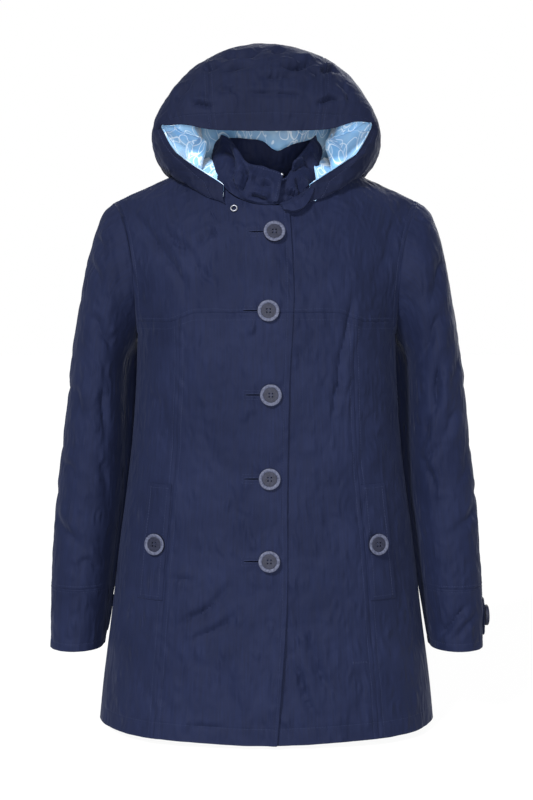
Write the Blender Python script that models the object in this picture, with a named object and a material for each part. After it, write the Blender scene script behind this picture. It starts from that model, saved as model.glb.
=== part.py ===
"""Hooded raincoat, filled out as when worn, with nobody in it.

Every piece that is cut and sewn is its own closed wall of cloth. The frame is the wearer's: +Z is up,
the front faces -Y, and the wearer's right side is at -X. The origin is in the middle of the neck
opening, level with the two points where the neck meets the shoulders.
Sizes and tables are in millimetres, and the meshes are made in metres.
"""
import math

import bmesh
import bpy
from mathutils import Matrix, Vector

MM = 0.001
SHARP_ANGLE = math.radians(35)

# Cloth and seams
CLOTH = 1.5
LINING_CLOTH = 1.0
DOUBLED_CLOTH = 2.0
SEAM_GAP = 0.3
HALF_GAP = SEAM_GAP / 2

# Heights of the coat's lines, and the shape of its shoulders
SHOULDER_TIP_X = 205.0
SHOULDER_TIP_Z = -60.0
UNDERARM_X = 174.0
UNDERARM_Z = -235.0
BUST_Z = -245.0
HEM_Z = -752.0
INSIDE_Z = -300.0
INSIDE_FRONT_X = 60.0
FRONT_HEM_DROP = 4.0
NECK_X = 72.0
NECK_FRONT_DROP = 70.0
NECK_BACK_DROP = 22.0
NECK_CROWN = 20.0
YOKE_Z = -206.0
YOKE_SIDE_DROP = 12.3
YOKE_BEND_SHARES = (0.5, 0.74)
CHEST_ROLL = 1.9
SIDE_ROUNDNESS = 3.2

# Armholes: half depths from front to back, and how far the seam curves in towards the middle
ARMHOLE_FRONT = 72.0
ARMHOLE_BACK = 70.0
ARMHOLE_DIP = 7.5
ARMHOLE_SOFTNESS = 8.0
ARMHOLE_STEPS = 10
YOKE_STEP = 8
DIP_REACH = 6

# Columns of the panels, as shares of the way from the middle to the side
NECK_SHARE = NECK_X / SHOULDER_TIP_X
PRINCESS_SHARE = 0.64
CENTRE_SHARES = (0.0, 0.12, 0.23, 0.31, NECK_SHARE, 0.49, PRINCESS_SHARE)
SIDE_SHARES = (PRINCESS_SHARE, 0.76, 0.87, 0.945, 0.986, 1.0)
BACK_SHARES = CENTRE_SHARES + SIDE_SHARES[1:]
ROWS_TO_HEM = (-290.0, -345.0, -400.0, -455.0, -515.0, -575.0, -635.0, -695.0, HEM_Z)

# Front overlap: the wearer's right front lies on the left one
UNDER_EDGE_X = 22.0
OVERLAP_LIFT = 2.2
OVERLAP_FULL_SHARE = 0.12
OVERLAP_END_SHARE = 0.23

# Buttons
BUTTON_DIAMETER = 28.0
BUTTON_HEIGHT = 4.2
BUTTON_SIDES = 24
BUTTON_HOLE = 1.9
BUTTON_HOLE_PITCH = 4.0
BUTTON_LIFT = 0.9
BUTTON_EDGE_ROUND = 1.0
BUTTON_UNDERCUT = 2.4
BUTTON_RIM = 3.0
BUTTON_SUNK = 1.2
HOLE_SIDES = 8

# Front buttons from the top: x towards the wearer's left, then height
FRONT_BUTTONS = ((10.0, -105.0), (2.5, -204.0), (5.5, -310.0), (4.0, -417.0), (3.5, -522.0))

# Pocket welts, on the side fronts against the princess seams
WELT_SHARES = (0.65, 0.69, 0.73, 0.77, 0.81)
WELT_TOP_Z = -427.0
WELT_BOTTOM_Z = -575.0
WELT_ROWS = 6
WELT_LIFT = DOUBLED_CLOTH + 2 * SEAM_GAP
WELT_BUTTON_SHARE = 0.715
WELT_BUTTON_Z = -504.0

# Sleeves and cuffs
SLEEVE_SIDES = 2 * ARMHOLE_STEPS
SLEEVE_JOIN_ROWS = 1.6
CUFF_ROW = 8
SLEEVE_ROWS = (0, 0.5, 1, 1.5, 2, 2.5, 3, 3.5, 4, 4.75, 5.5, 6.25, 7.1, CUFF_ROW, 8.5, 9)
CUFF_TAB_TURNS = {"left": (-96.0, 6.0), "right": (-146.0, -54.0)}
CUFF_TAB_COLUMNS = 5
CUFF_TAB_ROWS = (8.26, 8.54, 8.82)
CUFF_BUTTON_TURN_IN = 12.0
CUFF_BUTTON_ROW = 8.54
CUFF_TAB_LIFT = DOUBLED_CLOTH + 4 * SEAM_GAP

# Collar
COLLAR_TOP_X = 61.0
COLLAR_TOP_FRONT_Y = -78.0
COLLAR_TOP_BACK_Y = 70.0
COLLAR_TOP_SIDE_Z = 32.0
COLLAR_TOP_FRONT_Z = -20.0
COLLAR_TOP_BACK_Z = 22.0
COLLAR_START_TURN = -13.0
COLLAR_END_TURN = 375.0
COLLAR_ROWS = 3
COLLAR_BOW = 3.0
COLLAR_BACK_GAP = 1.4
COLLAR_FRONT_GAP = 2.4
COLLAR_LAP_TURNS = (325.0, 343.0)

# Hood
HOOD_REST = 4.6
HOOD_SIDE_TURNS = (2.0, 1.84, 1.675, 1.44, 1.22, 1.0)
HOOD_ARCH_STEPS = 4
CHIN_PULL = 25.0
CHIN_START, CHIN_CORNER = 0.35, 0.76
CHIN_HOOPS = 1.5
HOOD_CENTRE_STEPS = 6
HOOD_CENTRE_SHARE = 0.33
HOOD_RINGS = 11
HOOD_HEART = (0, 20, 20)
LINING_DEPTH = CLOTH + 0.5

# Metal trims: the snap ring at the hood's right front corner, and the stud under the collar's end
SNAP_X, SNAP_Z = -41.0, -75.0
SNAP_RADIUS = 3.9
SNAP_WIRE = 1.1
SNAP_STEPS, SNAP_WIRE_SIDES = 20, 8
STUD_TURN, STUD_RISE = 17.5, 0.72
STUD_RADIUS = 2.4
STUD_HEIGHT = 1.6
STUD_TOP = 0.6
STUD_SIDES = 16
TRIM_LIFT = 0.6

NAVY = (0.022, 0.028, 0.075, 1.0)
SKY = (0.36, 0.62, 0.86, 1.0)
SLATE = (0.05, 0.06, 0.10, 1.0)
STEEL = (0.70, 0.71, 0.73, 1.0)


class Sections:
    """A short table of sections. The first column is the place, and sizes between rows run smoothly."""

    def __init__(self, columns, rows):
        self.columns = columns
        self.rows = rows

    def read(self, name, place):
        """One size at a place. Beyond the table's ends, the end row holds."""
        column = self.columns.index(name)
        places = [row[0] for row in self.rows]
        place = min(max(place, places[0]), places[-1])
        first = max(k for k in range(len(places) - 1) if places[k] <= place)
        span = places[first + 1] - places[first]
        share = (place - places[first]) / span
        start, end = self.rows[first][column], self.rows[first + 1][column]
        leave = self.slope(first, column) * span
        arrive = self.slope(first + 1, column) * span
        bend = start - end
        return (start + leave * share + (-3 * bend - 2 * leave - arrive) * share ** 2
                + (2 * bend + leave + arrive) * share ** 3)

    def slope(self, row, column):
        """Slope at a row, from its neighbours."""
        before = self.rows[max(row - 1, 0)]
        after = self.rows[min(row + 1, len(self.rows) - 1)]
        return (after[column] - before[column]) / (after[0] - before[0])


BODY = Sections(
    ("height", "half_width", "front", "back"),
    (
        (-760, 228, 162, 150),
        (-700, 222, 157, 146),
        (-615, 211, 152, 138),
        (-505, 198, 147, 128),
        (-440, 189, 144, 121),
        (-370, 181, 143, 116),
        (-300, 176, 144, 115),
        (-235, 174, 144, 115),
    ))

FRONT_EDGE = Sections(
    ("height", "past_middle"),
    (
        (-757, 13),
        (-667, 20),
        (-565, 26),
        (-438, 26),
        (-290, 29),
        (-196, 34),
        (-143, 33),
        (-80, 29),
    ))

# Each sleeve section is an oval hung between its outermost and innermost points. Nestle is how far
# the sleeve fills out behind, where it lies close against the coat's side.
SLEEVE = Sections(
    ("row", "outer_x", "outer_z", "inner_x", "inner_z", "middle_y", "half_depth", "nestle"),
    (
        (0, 205, -60, 174, -235, -1, 71, 0),
        (1, 222, -80, 176, -244, -1, 73, 4),
        (2, 238, -134, 181, -254, -2, 73, 15),
        (3, 249, -192, 187, -270, -3, 70, 22),
        (4, 261, -264, 190, -305, -5, 65, 24),
        (5, 271, -350, 191, -365, -8, 60, 19),
        (6, 281, -442, 195, -446, -12, 55, 13.5),
        (7, 287, -515, 204, -515, -16, 51, 12),
        (8, 290, -572, 211, -572, -19, 48, 9.5),
        (9, 292, -655, 221, -655, -22, 45, 8),
    ))

# Hoops of the hood, from its front edge to the edge on the back. The hem lies on the coat.
HOOD = Sections(
    ("hoop", "hem_x", "hem_y", "side_x", "side_y", "side_z", "top_y", "top_z", "tuck", "crown"),
    (
        (0, 54, -102, 138, -70, 38, -100, 27, 1.15, 2.0),
        (1, 86, -84, 147, -55, 30, -97, 78, 1.25, 2.05),
        (2, 113, -52, 151, -30, 18, -70, 124, 1.4, 2.05),
        (3, 129, -2, 150, 6, 8, -12, 150, 1.7, 2.05),
        (4, 122, 34, 140, 48, 2, 58, 146, 1.8, 2.1),
        (5, 100, 54, 116, 88, -6, 106, 104, 1.8, 2.1),
        (6, 72, 66, 84, 104, -24, 120, 34, 1.8, 2.1),
        (7, 42, 73, 28, 75, -90, 76, -90, 1.5, 2.0),
    ))


def smooth_step(start, end, value):
    """Rises softly from 0 at the start to 1 at the end."""
    share = min(max((value - start) / (end - start), 0.0), 1.0)
    return share * share * (3 - 2 * share)


def steps(start, end, count):
    """Evenly spaced values, with both ends."""
    return [start + (end - start) * k / count for k in range(count + 1)]


# ---------------------------------------------------------------- the coat's body

def shoulder_line(share):
    """Height of the line over the shoulder, from the middle of the neck to the tip."""
    if share < NECK_SHARE:
        return NECK_CROWN * (1 - (share / NECK_SHARE) ** 2)
    return SHOULDER_TIP_Z * (share - NECK_SHARE) / (1 - NECK_SHARE)


def neckline(share, drop):
    """Height of the neck edge, a quarter round from the middle to the shoulder."""
    return -drop * math.sqrt(max(0.0, 1 - (share / NECK_SHARE) ** 2))


def top_edge(share, drop):
    """Height of a panel's top edge: the neck edge, then the shoulder seam."""
    share = abs(share)
    return neckline(share, drop) if share < NECK_SHARE else shoulder_line(share)


def yoke_line(share):
    """Height of the seam below the front yoke, which falls a little towards the armhole."""
    return YOKE_Z - YOKE_SIDE_DROP * smooth_step(*YOKE_BEND_SHARES, abs(share))


def reach(height):
    """Half the coat's width at a height, up to the shoulder tip."""
    if height <= UNDERARM_Z:
        return BODY.read("half_width", height)
    rise = min((height - UNDERARM_Z) / (SHOULDER_TIP_Z - UNDERARM_Z), 1.0)
    return UNDERARM_X + (SHOULDER_TIP_X - UNDERARM_X) * rise ** 2


def armhole_share(height):
    """Where a height lies on the armhole's oval, from 1 at the tip to -1 at the underarm."""
    middle = (SHOULDER_TIP_Z + UNDERARM_Z) / 2
    return min(max((height - middle) / (SHOULDER_TIP_Z - middle), -1.0), 1.0)


def armhole_dip(height):
    """How far the armhole seam curves in from the coat's reach between tip and underarm."""
    fall = (SHOULDER_TIP_Z - height) / (SHOULDER_TIP_Z - UNDERARM_Z)
    if fall <= 0 or fall >= 1:
        return 0.0
    return ARMHOLE_DIP * math.sin(math.pi * math.sqrt(fall))


def side_depth(height, face, share=1.0):
    """Depth of the panel's outer edge: on the armhole's oval, and nil at the side seam.

    Away from the edge, the oval's ends are drawn out softly, so that no ledge runs into the panel.
    """
    half = ARMHOLE_FRONT if face == "front" else ARMHOLE_BACK
    return half * (1 - armhole_share(height) ** 2) ** (0.5 + ARMHOLE_SOFTNESS * (1 - share))


def coat_depth(share, height, face):
    """How far the coat stands out from the middle plane, in front or behind."""
    share = min(abs(share), 1.0)
    fullness = BODY.read(face, height)
    top = shoulder_line(share)
    fall = min(max((top - height) / (top - BUST_Z), 0.0), 1.0)
    middle = fullness * math.sqrt(CHEST_ROLL * fall + (1 - CHEST_ROLL) * fall ** 2)
    edge = side_depth(height, face, share)
    round_off = math.sqrt(1 - share ** SIDE_ROUNDNESS)
    return HALF_GAP + middle * round_off + edge * (1 - round_off) ** 2


def coat_point(share, height, face, hand):
    """A point on the coat's outer surface. Hand is 1 on the wearer's left and -1 on the right."""
    x = share * reach(height) - armhole_dip(height) * share ** DIP_REACH
    depth = coat_depth(share, height, face)
    return Vector((hand * x, -depth if face == "front" else depth, height))


def coat_height(x, y):
    """Height of the coat's shoulders under a place, found by halving."""
    face = "front" if y < 0 else "back"
    low, high = BUST_Z, shoulder_line(min(abs(x) / SHOULDER_TIP_X, 1.0))
    for _ in range(20):
        middle = (low + high) / 2
        if coat_depth(abs(x) / reach(middle), middle, face) > abs(y):
            low = middle
        else:
            high = middle
    return low


def armhole_heights():
    """Heights of the armhole seam's points, from the shoulder tip to the underarm."""
    middle = (SHOULDER_TIP_Z + UNDERARM_Z) / 2
    half = SHOULDER_TIP_Z - middle
    return [middle + half * math.cos(math.pi * k / ARMHOLE_STEPS) for k in range(ARMHOLE_STEPS + 1)]


# ---------------------------------------------------------------- walls of cloth

class Surface:
    """Rows of points on a piece's outer surface, with the direction out of the cloth at each."""

    def __init__(self, points, heart=None, around=False, normals=None):
        self.points = points
        self.around = around
        self.normals = normals or self.find_normals(heart)

    def find_normals(self, heart):
        """Directions square to the surface, away from a point inside the garment."""
        last_row, columns = len(self.points) - 1, len(self.points[0])
        normals = []
        for i, row in enumerate(self.points):
            normals.append([])
            for j in range(columns):
                before = row[j - 1] if self.around or j > 0 else row[j]
                after = row[(j + 1) % columns] if self.around or j < columns - 1 else row[j]
                down = self.points[min(i + 1, last_row)][j] - self.points[max(i - 1, 0)][j]
                normals[-1].append((after - before).cross(down).normalized())
        i, j = last_row // 2, columns // 2
        if normals[i][j].dot(self.points[i][j] - heart) < 0:
            normals = [[-normal for normal in row] for row in normals]
        return normals

    def cut(self, rows, columns=slice(None)):
        """A panel cut from the surface. It keeps the directions, so seams meet wall to wall."""
        points = [[point.copy() for point in row[columns]] for row in self.points[rows]]
        normals = [[normal.copy() for normal in row[columns]] for row in self.normals[rows]]
        return Surface(points, normals=normals, around=self.around)

    def draw_back(self, offset, row=None, column=None):
        """Moves one edge of a panel, to leave the gap of a seam."""
        if row is not None:
            self.points[row] = [point + Vector(offset) for point in self.points[row]]
        if column is not None:
            for points in self.points:
                points[column] = points[column] + Vector(offset)

    def lift(self, heights):
        """Moves each column out from the surface by its own height."""
        for points, normals in zip(self.points, self.normals):
            for j, height in enumerate(heights):
                points[j] = points[j] + normals[j] * height

    def turn_in(self, direction, row=None, column=None):
        """Makes the wall's edge go in one way, so that it misses the panel across a seam."""
        for i in range(len(self.points)):
            for j in range(len(self.points[0])):
                if row in (None, i) and column in (None, j):
                    self.normals[i][j] = -direction(self.points[i][j], self.normals[i][j])


def wall(name, surface, colour, thickness=CLOTH):
    """A closed wall of cloth, with its outer side on the surface."""
    points, normals, around = surface.points, surface.normals, surface.around
    rows, columns = len(points), len(points[0])
    shell = bmesh.new()
    outer, inner = [], []
    for i in range(rows):
        outer.append([shell.verts.new(point * MM) for point in points[i]])
        inner.append([shell.verts.new((point - normal * thickness) * MM)
                      for point, normal in zip(points[i], normals[i])])
    spans = columns if around else columns - 1
    for i in range(rows - 1):
        for j in range(spans):
            k = (j + 1) % columns
            shell.faces.new((outer[i][j], outer[i][k], outer[i + 1][k], outer[i + 1][j]))
            shell.faces.new((inner[i][j], inner[i + 1][j], inner[i + 1][k], inner[i][k]))
    for i in (0, rows - 1):
        for j in range(spans):
            k = (j + 1) % columns
            shell.faces.new((outer[i][j], outer[i][k], inner[i][k], inner[i][j]))
    if not around:
        for j in (0, columns - 1):
            for i in range(rows - 1):
                shell.faces.new((outer[i][j], outer[i + 1][j], inner[i + 1][j], inner[i][j]))
    bmesh.ops.recalc_face_normals(shell, faces=shell.faces)
    mesh = bpy.data.meshes.new(name)
    shell.to_mesh(mesh)
    shell.free()
    mesh.shade_smooth()
    mesh.set_sharp_from_angle(angle=SHARP_ANGLE)
    return put(name, mesh, colour, roughness=0.85)


def put(name, mesh, colour, roughness, metallic=0.0):
    """Adds an object to the scene, with its own material."""
    part = bpy.data.objects.new(name, mesh)
    bpy.context.scene.collection.objects.link(part)
    material = bpy.data.materials.new(name)
    material.use_nodes = True
    shader = material.node_tree.nodes["Principled BSDF"]
    shader.inputs["Base Color"].default_value = colour
    shader.inputs["Roughness"].default_value = roughness
    shader.inputs["Metallic"].default_value = metallic
    part.data.materials.clear()
    part.data.materials.append(material)
    return part


def spread(used, top, bottom):
    """Heights between two lines, spaced as the ones given."""
    return [bottom + (top - bottom) * (height - used[-1]) / (used[0] - used[-1]) for height in used]


def front_heights(share):
    """Heights of one front column, matched to the armhole's points at the side."""
    armhole = armhole_heights()
    middle = 1 - smooth_step(0.0, PRINCESS_SHARE, share)
    yoke = spread(armhole[:YOKE_STEP + 1], top_edge(share, NECK_FRONT_DROP), yoke_line(share))
    below = spread(armhole[YOKE_STEP:] + list(ROWS_TO_HEM), yoke_line(share), HEM_Z - FRONT_HEM_DROP * middle)
    return yoke + below[1:]


def back_heights(share):
    """Heights of one back column, level below the armhole."""
    return spread(armhole_heights(), top_edge(share, NECK_BACK_DROP), UNDERARM_Z) + list(ROWS_TO_HEM)


def front_surface(hand):
    """The whole front on one side, with its front edge as the first column."""
    edge = []
    for height in front_heights(0.0):
        past = FRONT_EDGE.read("past_middle", height) if hand < 0 else UNDER_EDGE_X
        edge.append(coat_point(-past / reach(height), height, "front", hand))
    columns = [edge]
    for share in CENTRE_SHARES + SIDE_SHARES[1:]:
        columns.append([coat_point(share, height, "front", hand) for height in front_heights(share)])
    return Surface([list(row) for row in zip(*columns)], Vector((hand * INSIDE_FRONT_X, 0, INSIDE_Z)))


def into_armhole(point, normal):
    """Towards the middle of the armhole, square to X."""
    inward = Vector((0, -point.y, (SHOULDER_TIP_Z + UNDERARM_Z) / 2 - point.z))
    return inward.normalized() if point.z > UNDERARM_Z + 1 else -normal


def into_side(point, normal):
    """Straight in from the side seam."""
    return Vector((-math.copysign(1, point.x), 0, 0))


def into_shoulder(point, normal):
    """Straight down from the shoulder seam, and unchanged along the neck."""
    return Vector((0, 0, -1)) if abs(point.x) > NECK_X - 1 else -normal


def close_edges(surface, column):
    """Turns the walls in along the shoulder, armhole and side seams of a front or back."""
    for i, row in enumerate(surface.points):
        direction = into_armhole if row[column].z > UNDERARM_Z + 1 else into_side
        surface.turn_in(direction, row=i, column=column % len(row))
    surface.turn_in(into_shoulder, row=0)


def make_fronts():
    """Yoke, centre front and side front on each side."""
    princess = len(CENTRE_SHARES)
    shares = (0.0,) + CENTRE_SHARES + SIDE_SHARES[1:]
    for side, hand in (("right", -1), ("left", 1)):
        front = front_surface(hand)
        close_edges(front, -1)
        if hand < 0:
            front.lift([OVERLAP_LIFT * (1 - smooth_step(OVERLAP_FULL_SHARE, OVERLAP_END_SHARE, share))
                        for share in shares])
        yoke = front.cut(slice(0, YOKE_STEP + 1))
        yoke.draw_back((0, 0, HALF_GAP), row=-1)
        centre = front.cut(slice(YOKE_STEP, None), slice(0, princess + 1))
        centre.draw_back((0, 0, -HALF_GAP), row=0)
        centre.draw_back((-hand * HALF_GAP, 0, 0), column=-1)
        side_front = front.cut(slice(YOKE_STEP, None), slice(princess, None))
        side_front.draw_back((0, 0, -HALF_GAP), row=0)
        side_front.draw_back((hand * HALF_GAP, 0, 0), column=0)
        wall(f"front_yoke_{side}", yoke, NAVY)
        wall(f"front_centre_{side}", centre, NAVY)
        wall(f"front_side_{side}", side_front, NAVY)


def make_back():
    """The back, one piece from side seam to side seam."""
    columns = []
    for share in [-share for share in reversed(BACK_SHARES)] + list(BACK_SHARES[1:]):
        hand = -1 if share < 0 else 1
        columns.append([coat_point(abs(share), height, "back", hand) for height in back_heights(abs(share))])
    back = Surface([list(row) for row in zip(*columns)], Vector((0, 0, INSIDE_Z)))
    close_edges(back, 0)
    close_edges(back, -1)
    wall("back", back, NAVY)


# ---------------------------------------------------------------- sleeves and cuffs

def sleeve_point(turn, row, hand):
    """A point on a sleeve. Turn 0 is outermost, 90 is in front, 180 is against the body."""
    angle = math.radians(turn)
    size = {name: SLEEVE.read(name, row) for name in SLEEVE.columns[1:]}
    middle_x = (size["outer_x"] + size["inner_x"]) / 2
    middle_z = (size["outer_z"] + size["inner_z"]) / 2
    x = middle_x + (size["outer_x"] - middle_x) * math.cos(angle)
    z = middle_z + (size["outer_z"] - middle_z) * math.cos(angle)
    y = size["middle_y"] - size["half_depth"] * math.sin(angle)
    if math.cos(angle) < 0 and math.sin(angle) < 0:
        x -= size["nestle"] * math.sin(2 * angle) ** 2
    joining = max(0.0, 1 - row / SLEEVE_JOIN_ROWS) ** 2
    if joining > 0:
        seam_z = (SHOULDER_TIP_Z + UNDERARM_Z) / 2 + (SHOULDER_TIP_Z - UNDERARM_Z) / 2 * math.cos(angle)
        face = "front" if math.sin(angle) > 0 else "back"
        seam_x = reach(seam_z) - armhole_dip(seam_z) + SEAM_GAP
        seam_y = -side_depth(seam_z, face) if face == "front" else side_depth(seam_z, face)
        start = {name: SLEEVE.read(name, 0) for name in ("outer_x", "inner_x", "middle_y", "half_depth")}
        oval_x = (start["outer_x"] + start["inner_x"]) / 2
        oval_x += (start["outer_x"] - oval_x) * math.cos(angle)
        oval_y = start["middle_y"] - start["half_depth"] * math.sin(angle)
        x += (seam_x - oval_x) * joining
        y += (seam_y - oval_y) * joining
    return Vector((hand * x, y, z))


def sleeve_surface(rows, turns, hand, around=True):
    """Points of a sleeve or cuff, ring by ring from the top."""
    points = [[sleeve_point(turn, row, hand) for turn in turns] for row in rows]
    heart_row = rows[len(rows) // 2]
    heart = sleeve_point(0, heart_row, hand).lerp(sleeve_point(180, heart_row, hand), 0.5)
    return Surface(points, heart, around)


def make_sleeves():
    """Each sleeve is a tube from the armhole, with a cuff, and a tab buttoned on the cuff."""
    turns = [360.0 * k / SLEEVE_SIDES for k in range(SLEEVE_SIDES)]
    cuff_ring = SLEEVE_ROWS.index(CUFF_ROW)
    for side, hand in (("right", -1), ("left", 1)):
        whole = sleeve_surface(SLEEVE_ROWS, turns, hand)
        whole.turn_in(into_armhole, row=0)
        sleeve = whole.cut(slice(0, cuff_ring + 1))
        sleeve.draw_back((0, 0, HALF_GAP), row=-1)
        cuff = whole.cut(slice(cuff_ring, None))
        cuff.draw_back((0, 0, -HALF_GAP), row=0)
        wall(f"sleeve_{side}", sleeve, NAVY)
        wall(f"cuff_{side}", cuff, NAVY)
        first, last = CUFF_TAB_TURNS[side]
        tab = sleeve_surface(CUFF_TAB_ROWS, steps(first, last, CUFF_TAB_COLUMNS), hand, around=False)
        tab.lift([CUFF_TAB_LIFT] * (CUFF_TAB_COLUMNS + 1))
        wall(f"cuff_tab_{side}", tab, NAVY, thickness=DOUBLED_CLOTH)


# ---------------------------------------------------------------- collar

def collar_point(turn, rise):
    """A point on the stand collar. Turn 0 is the middle of the front, and 90 the wearer's left."""
    angle = math.radians(turn)
    across, ahead = math.sin(angle), math.cos(angle)
    face = "front" if ahead > 0 else "back"
    drop = NECK_FRONT_DROP if ahead > 0 else NECK_BACK_DROP
    share = NECK_SHARE * abs(across)
    base_z = neckline(share, drop)
    base = coat_point(share, base_z, face, math.copysign(1, across))
    base.z += COLLAR_BACK_GAP + (COLLAR_FRONT_GAP - COLLAR_BACK_GAP) * max(ahead, 0) ** 2
    far_y, far_z = ((COLLAR_TOP_FRONT_Y, COLLAR_TOP_FRONT_Z) if ahead > 0
                    else (-COLLAR_TOP_BACK_Y, COLLAR_TOP_BACK_Z))
    top_z = COLLAR_TOP_SIDE_Z + (far_z - COLLAR_TOP_SIDE_Z) * ahead ** 2
    top = Vector((COLLAR_TOP_X * across, far_y * ahead, top_z))
    outward = Vector((across, -ahead, 0))
    lap = OVERLAP_LIFT * smooth_step(*COLLAR_LAP_TURNS, turn)
    bow = COLLAR_BOW * math.sin(math.pi * rise)
    return base.lerp(top, rise) + outward * (bow + lap)


def make_collar():
    """One stand collar round the neck, with its wearer's right end on top in front."""
    quarter = [math.degrees(math.asin(share / NECK_SHARE)) for share in CENTRE_SHARES[:5]]
    half = quarter + [180 - turn for turn in reversed(quarter[:-1])]
    whole = half + [360 - turn for turn in reversed(half[:-1])]
    turns = [COLLAR_START_TURN] + whole + [COLLAR_END_TURN]
    rises = steps(1.0, 0.0, COLLAR_ROWS)
    points = [[collar_point(turn, rise) for turn in turns] for rise in rises]
    wall("collar", Surface(points, Vector((0, 0, 0))), NAVY)


# ---------------------------------------------------------------- hood

def chin_pull(down, hoop):
    """How far the front edge leans in under the chin, where the hood's front corners stand up."""
    fade = max(0.0, 1 - hoop / CHIN_HOOPS) ** 2
    if down < CHIN_CORNER:
        return CHIN_PULL * fade * max(0.0, (down - CHIN_START) / (CHIN_CORNER - CHIN_START))
    return CHIN_PULL * fade * (1 - down) / (1 - CHIN_CORNER)


def hood_point(turn, hoop):
    """A point on the hood. Turn runs from -2 at the right hem, over the crown at 0, to 2 at the left.

    Between 1 and 2 the hoop tucks in from its widest place to the hem, and from 0 to 1 it arches.
    """
    size = {name: HOOD.read(name, hoop) for name in HOOD.columns[1:]}
    along = abs(turn)
    if along > 1:
        angle = math.pi / 2 * (along - 1)
        inward = math.cos(angle) ** (2 / size["tuck"])
        down = math.sin(angle) ** (2 / size["tuck"])
        hem_z = coat_height(size["hem_x"], size["hem_y"]) + HOOD_REST
        x = size["hem_x"] + (size["side_x"] - size["hem_x"]) * inward - chin_pull(down, hoop)
        y = size["side_y"] + (size["hem_y"] - size["side_y"]) * down
        z = size["side_z"] + (hem_z - size["side_z"]) * down
    else:
        angle = math.pi / 2 * along
        out = math.sin(angle) ** (2 / size["crown"])
        up = math.cos(angle) ** (2 / size["crown"])
        x = size["side_x"] * out
        y = size["side_y"] + (size["top_y"] - size["side_y"]) * up
        z = size["side_z"] + (size["top_z"] - size["side_z"]) * up
    z = max(z, coat_height(x, y) + HOOD_REST)
    return Vector((math.copysign(x, turn), y, z))


def hood_surface(turns, hoops):
    """Points of the hood, hoop by hoop from its front edge."""
    points = [[hood_point(turn, hoop) for turn in turns] for hoop in hoops]
    return Surface(points, Vector(HOOD_HEART))


def make_hood():
    """Three panels, right, centre and left, and the printed lining inside them."""
    last = HOOD.rows[-1][0]
    side = list(HOOD_SIDE_TURNS) + steps(1.0, HOOD_CENTRE_SHARE, HOOD_ARCH_STEPS)[1:]
    centre = steps(HOOD_CENTRE_SHARE, -HOOD_CENTRE_SHARE, HOOD_CENTRE_STEPS)
    turns = side + centre[1:-1] + [-turn for turn in reversed(side)]
    first_seam, last_seam = len(side) - 1, len(turns) - len(side)
    hood = hood_surface(turns, steps(0.0, last, HOOD_RINGS))
    panels = (
        ("left", slice(0, first_seam + 1), None, -1),
        ("centre", slice(first_seam, last_seam + 1), 0, -1),
        ("right", slice(last_seam, None), 0, None),
    )
    for name, columns, seam_at_start, seam_at_end in panels:
        panel = hood.cut(slice(None), columns)
        if seam_at_start is not None:
            panel.draw_back((-HALF_GAP, 0, 0), column=seam_at_start)
        if seam_at_end is not None:
            panel.draw_back((HALF_GAP, 0, 0), column=seam_at_end)
        wall(f"hood_{name}", panel, NAVY)
    lining = hood.cut(slice(0, -1), slice(1, -1))
    lining.lift([-LINING_DEPTH] * (len(turns) - 2))
    wall("hood_lining", lining, SKY, thickness=LINING_CLOTH)


# ---------------------------------------------------------------- trims

def frame_on(point, outward):
    """A placing whose Z axis points outward from a surface, with X level."""
    outward = outward.normalized()
    level = Vector((0, 0, 1)).cross(outward).normalized()
    upright = outward.cross(level)
    placing = Matrix((level, upright, outward)).transposed().to_4x4()
    placing.translation = point * MM
    return placing


def coat_outward(share, height, hand):
    """Direction square to the coat's front at a place."""
    step = 0.01
    across = (coat_point(share + step, height, "front", hand)
              - coat_point(share - step, height, "front", hand))
    down = (coat_point(share, height - 1, "front", hand)
            - coat_point(share, height + 1, "front", hand))
    normal = across.cross(down)
    return normal if normal.y < 0 else -normal


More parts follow.
